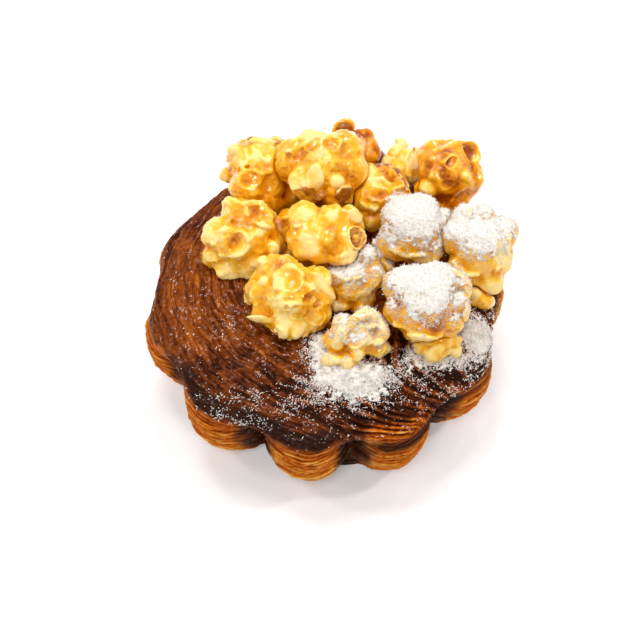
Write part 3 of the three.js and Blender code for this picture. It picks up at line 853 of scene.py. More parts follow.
POPCORN = [PLAIN | row for row in (
    dict(name="popcorn_back_left", at=(-21.1, 39.9, 44.5), glaze=0.46,
         buds=[(0.5, 1.5, 0, 9.6), (-5.7, 5.7, 0, 4.6), (-9.2, -0.2, 0, 2.6), (4.6, 6.6, -1, 5),
               (1.5, -6, 0, 7.4), (7.5, -6, -3, 6), (-3.5, -4, 5, 5.8), (1, -3, -5, 7)],
         bowls=[(-2.4, -3, 2.7, 1.2, -25), (-5.4, 1.3, 1.3, 1, 0), (-3.4, 1.5, 0.8, 1, 0)],
         folds=[(0.55, (-0.6, 0.4), (1.6, -0.4), (4.4, 0.2)), (0.5, (-4, 7), (-3.2, 4), (-5, 2)),
                (0.5, (0.5, 4.5), (2.8, 3.2), (5.4, 4))], plates=[(2, 9.2, 5, 1.2, 8, 60)],
         hulls=[(1.6, 10, 5.2, 1.1, 8, 0.5), (6.4, 9.8, 1.4, 0.8, 60, 0.4)],
         knobs=[(-7.1, 7.3, 2.4)], cream=[(1, 6.5, 5.5), (-5.5, 4.5, 3.4), (-1.5, -5.6, 1.6)],
         amber=[(2, -8, 6.5), (8, -6, 5), (-6, -6, 3), (4, -1, 2.6)]),
    dict(name="popcorn_crest", at=(-0.6, 37.1, 51.3), glaze=0.38, rough=0.85,
         buds=[(0, 0, 2, 9), (-8, 1.5, 0, 7.2), (-3, 4.6, 0, 6.9), (6, 4.6, 0, 6.8),
               (7.6, -1.5, 1, 6.3), (-4, -5, 3, 6), (4, -6, 3, 5.4), (7, -9, 0, 3.6),
               (0, -3.8, -5.6, 7.6)],
         bowls=[(-2.7, 6, 1.9, 1.5, 8), (2.3, 6, 1.6, 1.4, 0), (0, 1.8, 1, 1.6, 50),
                (6.9, 5.6, 1.7, 1, 0), (-11, 2.8, 1.1, 1.3, 60), (11, 3.6, 0.9, 1.2, 80)],
         folds=[(0.8, (-10.5, 4.2), (-5, 7.3), (-0.4, 7.8), (3.6, 9.2), (5.2, 7.8), (4.4, 4.6)),
                (0.6, (-2, -1.2), (-4, -3), (-4.6, -6)), (0.5, (-9, 8), (-4, 9.4), (0, 10.2)),
                (0.6, (0.4, 7.4), (-0.6, 4.6))],
         plates=[(-7.6, -4, 4.2, 2.6, 68, 14), (-2.2, -4.4, 3.8, 2.6, 80, -8)],
         hulls=[(-4.4, -7.8, 2.6, 1.4, -20, 0.5), (-0.6, -9.2, 3, 1.2, 20, 0.4),
                (6.6, -8.8, 3.4, 2.6, 0, 0.6)], knobs=[(4.6, -4.9, 2.3), (3, -5.6, 1.6)],
         cream=[(-6.4, -3.5, 4.8), (-1.6, -4, 4.4), (4.6, -5, 2.8), (-0.6, 4, 2.4), (-3, 9.4, 4)],
         amber=[(9, -2, 4.5), (4.6, 0, 2.2), (-11.5, 0, 4.5), (-4, 2.5, 2.5), (1, -10, 4)]),
    dict(name="popcorn_ear", at=(11.3, 48.9, 45.5), glaze=0.9, rough=0.45,
         buds=[(0, -1, -1, 5.6), (-3, 2, 0, 3.6), (2.3, 4.4, 0, 2.1), (2.5, 1.6, 1, 2.6),
               (2, -1, 1, 4), (3.6, -2.5, -2, 4.2), (0, -2.4, -4, 5)],
         folds=[(0.7, (1, 5), (-0.6, 5.2))], plates=[(-5.4, 6.6, 4.1, 3.1, 35, 0, 2.6)],
         seeds=[(-5.6, 7.0, 3.3, 1.2)], knobs=[(-6.4, 3.6, 1.7)], cream=[(-3, 1.4, 2)],
         amber=[(-5.4, 5.4, 4.6), (4.5, -2, 3)]),
    dict(name="popcorn_petal", at=(25.4, 44.4, 44.0), glaze=0.3,
         buds=[(0, -1.5, -1, 5.8), (-0.8, 6.2, 0, 2.1), (-2.4, 3.4, 1, 2.6), (-3.2, 0.6, 1, 2.6),
               (3.6, 1, -1, 3.6), (-5.2, 0.5, 0, 2.4), (0, -2.4, -4, 5)],
         bowls=[(2.8, 0.6, 2, 1.4, 70)], folds=[(0.6, (1, 3.4), (3.6, 4), (6, 2.6), (5.6, -1))],
         plates=[(4.4, 0.8, 4.2, 2.6, 70, 20, 0.6)], hulls=[(3.4, 4, 0.9, 0.6, 0, 0.5)],
         cream=[(3.4, 1, 3.6), (-6, 1, 2), (0, 6, 2)], amber=[(-4, 3, 1.6), (1, -3, 2.4)]),
    dict(name="popcorn_glazed", at=(38.7, 37.5, 48.0), glaze=0.66, rough=0.7,
         buds=[(-0.5, 0, 2, 8.4), (5.8, 5.2, 0, 4.2), (-3.4, 4.2, 0, 5.8), (1.8, 4.9, 0, 5),
               (6, -2, 2, 5), (1.5, -6.2, 0, 6), (-6.4, -5.2, 2, 3.4), (0, -3.2, -5, 7.2)],
         bowls=[(6.6, 6.4, 2.5, 1.15, 70), (0.4, 2.4, 1.3, 1.5, 40)],
         folds=[(0.8, (-4, 6), (-1.5, 7.4), (2, 8), (5, 9), (8.4, 8), (9.4, 4.8), (8, 3)),
                (0.5, (-2, 2), (0, 4), (2.4, 3.4), (3, 1)),
                (0.5, (-5.6, 3), (-3, 4.4), (-0.6, 5.4))], knobs=[(-6.6, -5.4, 3), (5.4, -1.4, 2)],
         cream=[(9, 4, 1.8), (-6.5, -5, 2.8), (4.6, -1.2, 1.3)],
         amber=[(0, -6, 6), (-4, 2, 5), (6.6, 6, 2.2)]),
    dict(name="popcorn_hull", at=(17.1, 31.0, 44.0), glaze=0.5,
         buds=[(0, 0, 1, 7.6), (-3, 4.5, 0, 5.4), (3.4, 4.8, 0, 5), (5.4, 1.2, 2, 4.4),
               (-2, -5.8, 1, 4.8), (-4.8, 0, 1, 5), (0.5, -2, -4.4, 6)],
         bowls=[(-3.4, 1.4, 1.5, 1.2, 30), (-0.3, 0.2, 2, 1.4, -20), (-1.2, -3.4, 0.9, 1, 0)],
         folds=[(0.6, (-5, 5.6), (-2.4, 4), (0.6, 5), (3, 3.4)),
                (0.5, (-5, -2), (-3, -4), (-1, -5))],
         plates=[(-3.6, 7.4, 3, 1.6, -20, 30, 0.5), (3, 6.8, 3.4, 1.8, -30, 10, 0.5)],
         hulls=[(0.6, 9.2, 3.6, 0.8, 2, 0.7), (6.4, 6.6, 2.8, 0.7, -55, 0.7),
                (8.2, 3, 2.2, 0.7, -65, 0.6), (5.4, 1.2, 3.2, 1.4, 25, 0.4)],
         cream=[(-3.6, 6.4, 3.6), (-1, 4, 2.6), (-1.4, -3.6, 1.6)],
         amber=[(-0.3, 0, 2.4), (-6, -3, 3.5), (3, 5.6, 2)]),
    dict(name="popcorn_left", at=(-24.6, 13.6, 44.5), glaze=0.4, rough=0.9,
         buds=[(-0.5, 0, 2, 8.8), (-5.2, 10, 0, 2.6), (-2, 7, 0, 5.8), (4, 6.2, 1, 5.2),
               (6.4, 2.8, 3, 3), (-6.6, 1, 0, 6.6), (-9.6, -4.8, 0, 4), (-4.2, -8, 0, 5),
               (1.5, -6, 1, 6.2), (6.6, -1.5, 1, 5), (0, -3.2, -5, 8)],
         bowls=[(-3.8, -1.4, 2.7, 1.35, 20), (-10.8, -5.4, 1.2, 1.1, 70), (-2.9, 8, 0.9, 1.1, 0),
                (2.6, 7.6, 1.9, 1.6, 75), (-7.4, -7, 0.9, 1.2, 0)],
         folds=[(0.65, (-5.6, 12), (-1, 10.6), (4.4, 11)), (0.75, (-0.4, 9.8), (0.6, 7.4), (2, 5)),
                (0.6, (-7, 2.5), (-4, 3), (-1, 2), (1.4, -1)),
                (0.5, (-10, -1.5), (-8, 0), (-7, 2.5)),
                (0.55, (-7, -5), (-4, -5.6), (-1, -4.6), (1, -3))],
         plates=[(5.2, 3.9, 3.2, 1.3, 6, -25)], hulls=[(4.6, 5.4, 1.6, 0.4, 10, 0.6)],
         knobs=[(-5.2, 11.6, 1.5), (8.6, -3, 2.2)],
         cream=[(-9.6, 3, 4.4), (-4, -10, 5), (-11, -5, 2), (0.6, 8.4, 1.4), (5.4, 3.6, 2.4),
                (2, -8, 2.6), (-6, 8.6, 1.6)],
         amber=[(-3.8, -1.4, 2.4), (2.8, 8, 2), (5.6, 9.6, 2.4), (8.6, -3, 2.6), (-3, 5.4, 2),
                (-2.4, -9.6, 1.2)]),
    dict(name="popcorn_swirl", at=(0.6, 11.1, 50.0), glaze=0.34, rough=0.6,
         buds=[(0.5, 0, 0, 8), (-6.6, 5.2, 0, 5.4), (-5.6, -1.4, 0, 6.6), (1.6, 4.6, 3, 5),
               (-0.6, 0.2, 3.6, 5), (-2.6, -4, 2.6, 4.8), (6.4, 4.8, -1, 4.4), (7.4, -1.5, 0, 4.4),
               (3.4, -4.8, 2, 4.8), (5.6, -7, 0, 3.6), (0, -3.2, -5, 7.2)],
         folds=[(0.6, (5, 7), (8, 6.4), (10, 4.6), (11, 2.4)), (0.7, (5.4, 0), (5.8, -3), (7, -6))],
         plates=[(7.8, 5.6, 3, 1.6, -30, 20), (7.4, -7, 3, 1.5, 55, -10)], eyes=[(9.0, -1, 3.1)],
         hulls=[(-9, 2.9, 2, 0.9, -25, 0.1)],
         cream=[(-6.6, 4.6, 4.4), (-6, -1, 3.2), (8.6, 6, 2.4), (6.6, -7, 3), (-6, -5, 3),
                (1.6, 6, 2.2)],
         amber=[(2.2, 1, 2.6), (-2.2, -7, 2.6), (-10, 0.6, 2.2), (1.4, -3.4, 2.6), (-1.6, 8.4, 2)]),
    dict(name="popcorn_ball", at=(26.9, 13.8, 49.5), glaze=0.36, sugar=1.18, rough=0.4,
         buds=[(0, 0.6, 1, 9.6), (-4.5, -3.5, 1, 6.4), (4, -4.6, 1, 6.4), (5.4, 0.6, 0, 5.6),
               (-3.6, 3.6, 0, 6), (2, 4.6, 0, 6.2), (9, 3.2, -1, 3.2), (0, -3.2, -5, 7.2)],
         folds=[(0.7, (-7, -6), (-2, -8), (3, -8))], hulls=[(-5.6, 10, 3.4, 1.6, 35, 0.35)],
         knobs=[(11.4, 4, 2.2)], cream=[(3, -9, 2.6)], amber=[(-6, -6, 3), (7, -5, 2.6)]),
    dict(name="popcorn_tooth", at=(47.5, 8.3, 47.0), glaze=0.26, sugar=0.84, rough=0.5,
         buds=[(0, 0, 2, 9), (-3.8, 8.2, 0, 5.2), (1.2, 9.6, -2, 4.2), (6.9, 4.6, 0, 5.4),
               (-5.6, 3, 3, 6.4), (4.4, -2.4, 0, 6.2), (-4, -4.8, 1, 5.8), (2.8, -8.6, 0, 5),
               (3.6, -11, 0, 3.2), (-1, -8, 0, 4), (0, -3.2, -5, 7.2)],
         bowls=[(-2.1, 1.8, 2, 1.25, 10), (-7.4, 6.4, 1.8, 1.2, 60)],
         folds=[(0.8, (-8, -4), (-5, -7.4), (-1, -8)), (0.6, (8.6, 4), (8, -2), (5, -6))],
         plates=[(-3.6, 10.4, 2.4, 1.2, 70, 15)], cream=[(7, -2, 4), (3, 6, 4)],
         amber=[(-2.1, 1.6, 1.8), (-6, -6, 3), (-7.4, 6.4, 1.8)]),
    dict(name="popcorn_crater", at=(-10.4, -8.7, 45.0), glaze=0.34, rough=1.0,
         buds=[(0, 1.5, 2, 8.6), (-6.4, 8.8, 0, 4), (-2.6, 7.4, 0, 5.6), (-7.6, 1.8, 0, 6),
               (-8.4, -4.6, 1, 3.6), (0.8, 3.4, 3.4, 6.4), (7.2, 4.6, 0, 5.2), (8.4, 0.5, 0, 4.4),
               (6.4, -4.4, 0, 5.6), (-0.5, -5.8, 1, 6.4), (1.8, -9.4, 0, 3.6), (0, -3.2, -5, 8)],
         bowls=[(-0.2, 5.4, 3.1, 1.2, 10), (5.5, -0.2, 1.8, 1.3, 30), (7.6, -1.6, 1.2, 1.2, 0),
                (1, -2.6, 0.9, 1.2, 0), (-1.4, -2.6, 0.7, 1, 0), (-7.1, 9, 0.8, 1.2, 0),
                (-2.4, -10.2, 1, 1.2, 0)],
         folds=[(0.7, (-4, 3), (-4.4, 6), (-2.4, 8.6), (1, 8.9), (3.6, 6.6)),
                (0.9, (4, 8.6), (7.2, 6.4), (10, 3.4), (12.2, 0.4)),
                (0.6, (3, 5), (5.6, 3), (8, 1.6)), (0.5, (-2.6, -2), (0, -1.4), (3, -1.8))],
         plates=[(-9, -6.2, 4.2, 1.6, -6, 15), (9.4, 4.4, 4.6, 1.7, -48, 20)],
         hulls=[(-4, -10, 1.6, 0.5, -15, 0.5)],
         knobs=[(-8.4, 11.2, 1.6), (-8.2, 5.4, 1.9), (-1.8, -10.4, 1.7), (2.4, -10.8, 1.9),
                (-0.3, -12.4, 1.1)],
         cream=[(-5, -2, 3.4), (-1, -5.6, 4), (9.4, 4.6, 3.4), (-8.2, 5.4, 1.8), (-3.4, 3.6, 1.8),
                (-4.4, 6, 1), (3, -8, 2.4)],
         amber=[(-2.9, 10, 3.2), (5.6, 0, 2.6), (8.6, -4, 2.6), (-11.5, 2.8, 2.6)]),
    dict(name="popcorn_saddle", at=(8.9, -0.3, 40.5), glaze=0.36, sugar=0.75,
         buds=[(0, 0, 0, 7.4), (3.8, 7.6, 0, 4.4), (-5.2, 1, 0, 5), (6, 2.4, 0, 4.2),
               (-3.8, -5.4, 0, 3.8), (2, -4.8, 0, 4.8), (0, -2, -4, 6)],
         bowls=[(-4, -5.4, 1.1, 1.2, 0)], folds=[(0.6, (-6, 3), (-2, 1), (2, 2))],
         knobs=[(-5.8, -7.2, 1.7), (-2.6, -7.6, 1.6)], cream=[(3, -4, 3), (-5, -7, 2)],
         amber=[(-6, 2, 3), (-1, -3, 2)]),
    dict(name="popcorn_bun", at=(30.1, -12.9, 48.5), glaze=0.5, sugar=0.98, rough=0.45,
         buds=[(0, 0, 1, 9.4), (3.4, 6.2, 0, 5.9), (9.4, 5.6, 0, 3.4), (7.8, -1, 0, 5.4),
               (-1.6, 5, 0, 6), (-6.4, 4.2, 0, 6.2), (-6.8, -2.4, 0, 5.6), (0, -4, 2, 7.4),
               (6, -4.4, 1, 5.6), (-2, -7, -2, 5), (0, -3.2, -5, 7.2)],
         bowls=[(10.2, 2.8, 1.6, 1.3, 20)],
         folds=[(0.9, (8, 9), (11, 7.6), (12.6, 5), (12, 2.6)),
                (0.7, (-9, -6), (-3, -9.4), (4, -9.6))],
         plates=[(-1.4, -10, 5, 1.5, -3, 20), (11.6, -3.4, 2.4, 1.4, 80, 10)],
         cream=[(-1.4, -11, 3.4), (11, 3, 2)], amber=[(1, -5.6, 5), (-9, -2, 3)]),
    dict(name="popcorn_fold", at=(9.0, -22.0, 42.0), glaze=0.3, sugar=0.75,
         buds=[(0, 0, -1, 6.6), (3.4, 5, -1, 4.8), (-3, 3.4, 0, 4.4), (-5.8, 0, 0, 4),
               (6.4, 3, -1, 4.2), (6.6, -2.4, -1, 4), (-6.8, -6, 0, 3), (-1, -6, 0, 3.8),
               (0, -2, -4, 6)], bowls=[(0.4, 1.2, 2.6, 1.4, 30), (5.6, -2.4, 1.9, 1.5, 0)],
         folds=[
                (1.6, (-5.4, -1.4), (-4, 2.6), (-1.2, 5.8), (3.4, 8), (7.6, 6), (9, 2),
                 (6.4, -0.6)), (0.8, (-2.6, 0), (0.4, 1.4), (3.4, 3.6), (5.6, 4)),
                (0.8, (-1, -2), (2, -0.4), (4, 0))], plates=[(2, 2.4, 2.8, 1, 35, 45)],
         knobs=[(0.8, -4.3, 2.1), (-8.2, -6, 2.1), (-2.6, -7.2, 2), (-5.2, -6, 1.6)],
         cream=[(2, 2, 3), (-8, -6, 2.6), (-2, -7, 2)], amber=[(5.6, -2.6, 2), (-3, -1.4, 1.6)]),
    dict(name="popcorn_under_bun", at=(34.2, -20.8, 38.5), glaze=0.42, sugar=0.2,
         buds=[(0, 1.5, 0, 5.4), (-4, -1, 0, 4.2), (-1, -3, 1, 3.8), (4.6, 1, 0, 2.6),
               (4.9, -2.4, 0, 2.5), (0, -1, -2, 5)], bowls=[(2, -2.6, 1, 1.3, 0)],
         folds=[(0.5, (-4, 1), (-2, 0), (0, 1.4))], plates=[(-0.7, -1.6, 2.4, 1.5, 28, 25)],
         knobs=[(-3, -3.6, 1.6)], cream=[(4.6, -3, 2), (-4, 1, 2)],
         amber=[(-1, -4, 2), (1.6, 0.4, 1.6)]),
    dict(name="popcorn_under_tooth", at=(47.6, -2.7, 38.5), glaze=0.4,
         buds=[(0, 1, -1, 3.8), (-1.6, 0, 1, 3.2), (1.8, -2.2, 0, 3.2), (0, -1, -2.4, 4)],
         knobs=[(-1.6, 0.4, 2)], cream=[(-1.6, 0.4, 2.4)], amber=[(1.8, -2.4, 2.6)]),
    dict(name="popcorn_amber", at=(-13.9, 18.5, 39.0), glaze=0.72,
         buds=[(0, 0, 0, 4.8), (0, 3, 0, 4.4), (1.6, -3.4, 0, 3.2), (2, 5.6, -2, 3.2),
               (0, -1, -2, 5)], folds=[(0.5, (-2, 3), (0, 2), (2, 3))],
         plates=[(2, 6, 2.2, 1.2, 20, 0)], knobs=[(-2, 1, 1.8)], cream=[(3, 6, 2)],
         amber=[(0, 0, 4)]),
    dict(name="popcorn_link", at=(17.4, 8.2, 43.5), glaze=0.4, sugar=1.1,
         buds=[(0, 0, 0, 3.4), (-1.2, 2.8, 0, 2.8), (1.6, -3, 0, 2.7), (0, -1, -2.4, 4)],
         knobs=[(-1.4, 3.6, 1.6), (2, -3.8, 1.6)]),
)]

ACROSS = np.array([1.0, 0.0, 0.0])
UP = np.array([0.0, math.sin(SLOPE), math.cos(SLOPE)])
OUT = np.array([0.0, -math.cos(SLOPE), math.sin(SLOPE)])
SLOPE_AXES = np.stack([ACROSS, UP, OUT])


def has_cap(corn):
    """Whether the sugar on a piece is thick enough for a cap of its own."""
    return corn["sugar"] > 0.5


def cluster(corn, local):
    """The distance to the outside of a piece's buds, from places in its own sloping axes."""
    total = 0
    for *centre, radius in corn["buds"]:
        away = np.linalg.norm(local - np.array(centre) * PLUMPNESS, axis=-1)
        total = total + np.exp(-BUD_SHARPNESS * (away - radius * PLUMPNESS))
    return -np.log(np.maximum(total, 1e-30)) / BUD_SHARPNESS


def on_skin(corn, across, up):
    """The place on a piece's skin that faces out of the slope, and the way that it faces."""
    outs = np.linspace(16, -8, 200)
    line = np.stack([0 * outs + across, 0 * outs + up, outs], -1)
    distance = cluster(corn, line)
    hit = int(np.argmax(distance < 0)) if (distance < 0).any() else int(np.argmin(distance))
    place = line[hit]
    nudge = 0.2 * np.eye(3)
    facing = np.array([float(cluster(corn, place + n) - cluster(corn, place - n)) for n in nudge])
    return place, facing / np.linalg.norm(facing)


def tangents(facing, turn, lean=0.0):
    """Two directions along the skin and one out of it, turned on it and then leaned up off it."""
    turn, lean = math.radians(turn), math.radians(lean)
    lengthwise = np.array([math.cos(turn), math.sin(turn), 0.0])
    lengthwise -= facing * (lengthwise @ facing)
    lengthwise /= np.linalg.norm(lengthwise)
    sideways = np.cross(facing, lengthwise)
    out = facing * math.cos(lean) - sideways * math.sin(lean)
    return np.stack([lengthwise, np.cross(out, lengthwise), out])


def lens(local, place, axes, half_sizes):
    """About the distance to an ellipsoid."""
    shares = ((local - place) @ axes.T) / np.array(half_sizes)
    size = np.linalg.norm(shares, axis=-1)
    slope = np.linalg.norm(shares / np.array(half_sizes), axis=-1)
    return size * (size - 1) / np.maximum(slope, 1e-6)


def stands_alone(plate):
    """Whether a plate stands by itself, and so has a seventh number."""
    return len(plate) == 7


def plate_field(corn, plate, local):
    """The distance to a plate, which lies on the skin or stands by itself."""
    across, up, length, width, turn, lean, *out = plate
    if out:
        place, facing = np.array([across, up, out[0]]), np.array([0.0, 0.0, 1.0])
    else:
        skin, facing = on_skin(corn, across, up)
        place = skin + facing * 0.5
    axes = tangents(facing, turn, lean)
    return lens(local, place, axes, (length, width, PLATE_HALF_THICKNESS))


def cord(local, places, radius):
    """The distance to a cord along a row of places."""
    nearest = 1e9
    for start, end in zip(places[:-1], places[1:]):
        run = end - start
        part = np.clip(((local - start) @ run) / (run @ run), 0, 1)
        away = np.linalg.norm(local - start - part[..., None] * run, axis=-1)
        nearest = np.minimum(nearest, away)
    return nearest - radius


def painted(corn, key, local):
    """How much of a patch of thin or deep caramel is at each place, 0 to 1."""
    total = np.zeros(local.shape[:-1])
    for across, up, radius in corn[key]:
        away = np.hypot(local[..., 0] - across, local[..., 1] - up)
        front = smoothstep(-6, 0, local[..., 2])
        total = np.maximum(total, front * (1 - smoothstep(0.45, 1.25, away / radius)))
    return total


def caramel(corn, local, seed):
    """How deep the caramel lies, about 0 to 1, before the hollows add caramel and painted shade."""
    depth = corn["glaze"] + 0.02 + 0.24 * noise(local / 6.5, seed + 40)
    return depth - 0.42 * painted(corn, "cream", local) + 0.18 * painted(corn, "amber", local)


def inside_pastry(points, gap):
    """More than 0 where a point is in the pastry or within the gap above it."""
    x, y, z = np.moveaxis(points, -1, 0)
    over = lip_reach(np.arctan2(y, x)) + gap - np.hypot(x, y)
    return np.minimum(top_height(x, y) + gap - z, over)


def extent(corn, local):
    """The distance to the outside of a piece, with the plates that stand by themselves."""
    field = cluster(corn, local)
    for plate in filter(stands_alone, corn["plates"]):
        field = np.minimum(field, plate_field(corn, plate, local))
    return field


def billows(spot, bent, seed):
    """How far the popped skin swells: broad billows, creases, and foam in patches."""
    foam = smoothstep(-0.05, 0.4, noise(spot / 6.5, seed + 8))
    swell = 0.7 * np.abs(noise(bent / 4.8, seed + 10))
    swell += 0.24 * grooves(bent / 3.1, seed + 17, 0.14)
    swell += (0.04 + 0.36 * foam) * np.abs(noise(bent / 2.1, seed + 20))
    swell += 0.4 * grooves(bent / 5.5, seed + 15, 0.13) * (1 - 0.5 * foam)
    return swell


def with_bowl(corn, body, bent, bowl, seed):
    """A piece with a burst bubble in its skin."""
    across, up, radius, stretch, turn = bowl
    place, facing = on_skin(corn, across, up)
    half_sizes = (radius * stretch, radius, radius * 0.5)
    hole = lens(bent, place + facing * 0.3, tangents(facing, turn), half_sizes)
    hole += 0.45 * np.abs(noise(bent / 1.7, seed + 25)) - 0.1
    rim = soft_max(np.abs(hole - 0.5) - 0.34, np.abs(body) - 0.5, 0.3)
    return soft_max(soft_min(body, rim, 0.3), -hole, 0.4)


def with_eye(corn, body, spot, bent, eye, seed):
    """A piece with a cup in its skin, where the kernel shows."""
    across, up, radius = eye
    place, facing = on_skin(corn, across, up)
    cup = lens(bent, place + facing * 0.5, tangents(facing, 0), (radius, radius, radius * 0.7))
    body = soft_min(body, soft_max(np.abs(cup - 0.3) - 0.45, np.abs(body) - 1.0, 0.3), 0.3)
    body = soft_max(body, -cup, 0.3)
    spoke = 0.3 * np.abs(noise(spot, seed + 45))
    knob = np.linalg.norm(bent - place + facing * 0.2, axis=-1) - radius * 0.42
    return soft_min(body, knob, 0.3) - spoke * (cup < 0.3)


def popped_skin(corn, spot, seed):
    """The distance to a piece's skin, with its lobes, folds, thin petals, bubbles and hulls.

    The places are bent a little, so that nothing on the skin is quite round or straight.
    """
    rough = corn["rough"]
    bent = spot + (0.4 + 0.5 * rough) * drift(spot / 4.6, seed)
    bent += 0.16 * rough * drift(spot / 1.8, seed + 3)
    body = cluster(corn, bent) + 0.6 * rough + 0.3 * has_cap(corn)
    body -= rough * billows(spot, bent, seed)
    body -= 0.3 * smoothstep(0.46, 0.54, caramel(corn, spot, seed))
    for across, up, radius in corn["knobs"]:
        place, facing = on_skin(corn, across, up)
        body = soft_min(body, np.linalg.norm(bent - place + facing * 0.4, axis=-1) - radius, 0.5)
    for radius, *run in corn["folds"]:
        places = [on_skin(corn, *place) for place in run]
        places = [place + facing * 0.3 for place, facing in places]
        body = soft_min(body, cord(bent, places, radius), 0.7)
    for plate in itertools.filterfalse(stands_alone, corn["plates"]):
        body = soft_min(body, plate_field(corn, plate, bent), 0.4)
    for bowl in corn["bowls"]:
        body = with_bowl(corn, body, bent, bowl, seed)
    for eye in corn["eyes"]:
        body = with_eye(corn, body, spot, bent, eye, seed)
    for across, up, length, width, turn, _ in corn["hulls"]:
        place, facing = on_skin(corn, across, up)
        axes = tangents(facing, turn)
        husk = lens(bent, place + facing * 0.3, axes, (length, width, 0.7))
        body = soft_min(body, husk + 0.2 * noise(bent / 1.1, seed + 35), 0.25)
    return body - 0.04 * noise(bent / 0.95, seed + 30)


def popcorn_field(corn, points, seed):
    """The distance field of one piece of popcorn, clear of its neighbours and the pastry.

    It is worked out in full near the skin alone.
    """
    local = (points - corn["at"]) @ SLOPE_AXES.T
    field = extent(corn, local)
    near = np.abs(field) < 3.2
    spot, where = local[near], points[near]
    body = popped_skin(corn, spot, seed)
    own = cluster(corn, spot)
    for other in POPCORN:
        apart = np.linalg.norm(np.subtract(other["at"], corn["at"]))
        if 0 < apart < NEIGHBOUR_REACH:
            theirs = cluster(other, (where - other["at"]) @ SLOPE_AXES.T)
            body = soft_max(body, (own - theirs) / 2 + 0.12, 0.35)
    for plate in filter(stands_alone, corn["plates"]):
        body = soft_min(body, plate_field(corn, plate, spot), 0.5)
    for *kernel, radius in corn["seeds"]:
        body = soft_min(body, np.linalg.norm(spot - kernel, axis=-1) - radius, 0.4)
    field[near] = soft_max(body, inside_pastry(where, 0.1), 0.35)
    return field


def popcorn_values(corn, points, facing, seed):
    """What the finish needs at each point: glaze and painted shade, bran hull and powdered sugar.
    """
    local = (points - corn["at"]) @ SLOPE_AXES.T
    # Hollows and undersides get more amber: partly caramel that ran down, partly painted shade.
    hollow = np.clip(-cluster(corn, local) / 2.0, -0.3, 0.8)
    under = np.clip(-facing[:, 2], 0, 1)
    glaze = caramel(corn, local, seed) + 0.1 * hollow + 0.22 * under
    hull, bran = np.zeros(len(points)), np.zeros(len(points))
    bent = local + 0.9 * drift(local / 2.0, seed + 6)
    for across, up, length, width, turn, dark in corn["hulls"]:
        place, out = on_skin(corn, across, up)
        away = lens(bent, place + out * 0.3, tangents(out, turn), (length, width, 1.1))
        cover = 1 - smoothstep(0.0, 0.45, away)
        bran = np.where(cover > hull, dark, bran)
        hull = np.maximum(hull, cover)
    for across, up, radius in corn["eyes"]:
        place, _ = on_skin(corn, across, up)
        away = np.linalg.norm(bent - place, axis=-1)
        turn = np.arctan2(bent[:, 1] - place[1], bent[:, 0] - place[0])
        spokes = 0.5 + 0.5 * np.cos(8 * turn + 2.5 * noise(local / 1.2, seed + 46))
        cover = 0.9 * (1 - smoothstep(radius * 0.85, radius * 1.1, away))
        cover *= 0.35 + 0.65 * smoothstep(radius * 0.25, radius * 0.45, away)
        bran = np.where(cover > hull, 0.05 + 0.42 * spokes, bran)
        hull = np.maximum(hull, cover)
    for *kernel, radius in corn["seeds"]:
        away = np.linalg.norm(local - kernel, axis=-1)
        cover = 1 - smoothstep(radius * 0.9, radius * 1.5, away)
        bran = np.where(cover > hull, 0.85, bran)
        hull = np.maximum(hull, 0.9 * cover)
    return {"glaze": glaze, "hull": hull, "bran": bran,
            "sugar": sugar_cover(corn, points, facing, seed)}


def upwardness(corn, local):
    """How squarely the plain outside of a piece's buds faces up, -1 to 1."""
    total, rise = 1e-30, 0
    for *centre, radius in corn["buds"]:
        apart = local - np.array(centre) * PLUMPNESS
        away = np.maximum(np.linalg.norm(apart, axis=-1), 1e-6)
        weight = np.exp(-BUD_SHARPNESS * (away - radius * PLUMPNESS))
        total = total + weight
        rise = rise + weight * (apart @ SLOPE_AXES[:, 2]) / away
    return rise / total


def sugar_cover(corn, points, facing, seed, ease=0.0):
    """How well a piece is covered with sugar, which fell from above, 0 to 1.

    The ease says how much further down it thins out.
    """
    if not corn["sugar"]:
        return np.zeros(len(points))
    broad = upwardness(corn, (points - corn["at"]) @ SLOPE_AXES.T)
    share = np.clip((points[:, 2] - corn["at"][2]) / 10.0, -1, 1)
    lie = 0.4 * broad + 0.25 * facing[:, 2] + 0.35 * share
    ragged = 0.15 * rough_noise(points / 3.4, seed + 50, 3) + 0.22 * noise(points / 1.2, seed + 55)
    return smoothstep(0.5 - ease, 0.66, lie + ragged + 0.6 * (corn["sugar"] - 1))


def make_popcorn(corn, seed, finish):
    """One piece of popcorn, and its field, which a cap of sugar is laid on."""
    low, high = (np.array(corner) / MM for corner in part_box(corn["name"]))
    room = 4.6 if any(map(stands_alone, corn["plates"])) else 2.2
    low, high = low - room, high + room
    grid = grid_over(low, high, POPCORN_CELL)
    field = popcorn_field(corn, grid, seed)
    points, faces = skin_of(field, low, POPCORN_CELL)
    slopes = np.gradient(field, POPCORN_CELL)
    facing = np.stack([lookup(slope, low, POPCORN_CELL, points) for slope in slopes], -1)
    facing /= np.maximum(np.linalg.norm(facing, axis=1, keepdims=True), 1e-6)
    values = popcorn_values(corn, points, facing, seed)
    # The caramel runs off the ridges and gathers in the creases, both fine and broad. The amber in
    # the creases is partly painted shade, and the cream on sharp ridges partly a painted highlight.
    sharp, soft, broad = [
        lookup(curvature(field, max(1, round(reach / POPCORN_CELL)), POPCORN_CELL), low,
               POPCORN_CELL, points) for reach in (0.8, 2.0, 3.6)]
    values["glaze"] -= 0.12 * np.clip(sharp + soft - 0.5, 0, 1.8) + 0.1 * np.clip(sharp, -1.8, 0)
    values["glaze"] -= 0.45 * np.clip(broad - 0.18, -0.4, 0.5)
    under_cap = smoothstep(0.75, 0.95, values["sugar"])
    loose = sugar_cover(corn, points, facing, seed, ease=0.34) ** 1.5
    values["sprinkle"] = loose * (1 - 0.8 * under_cap)
    piece = mesh_object(corn["name"] + "_skin", points, faces.tolist(), finish, values)
    return piece, (grid, field, slopes, low)


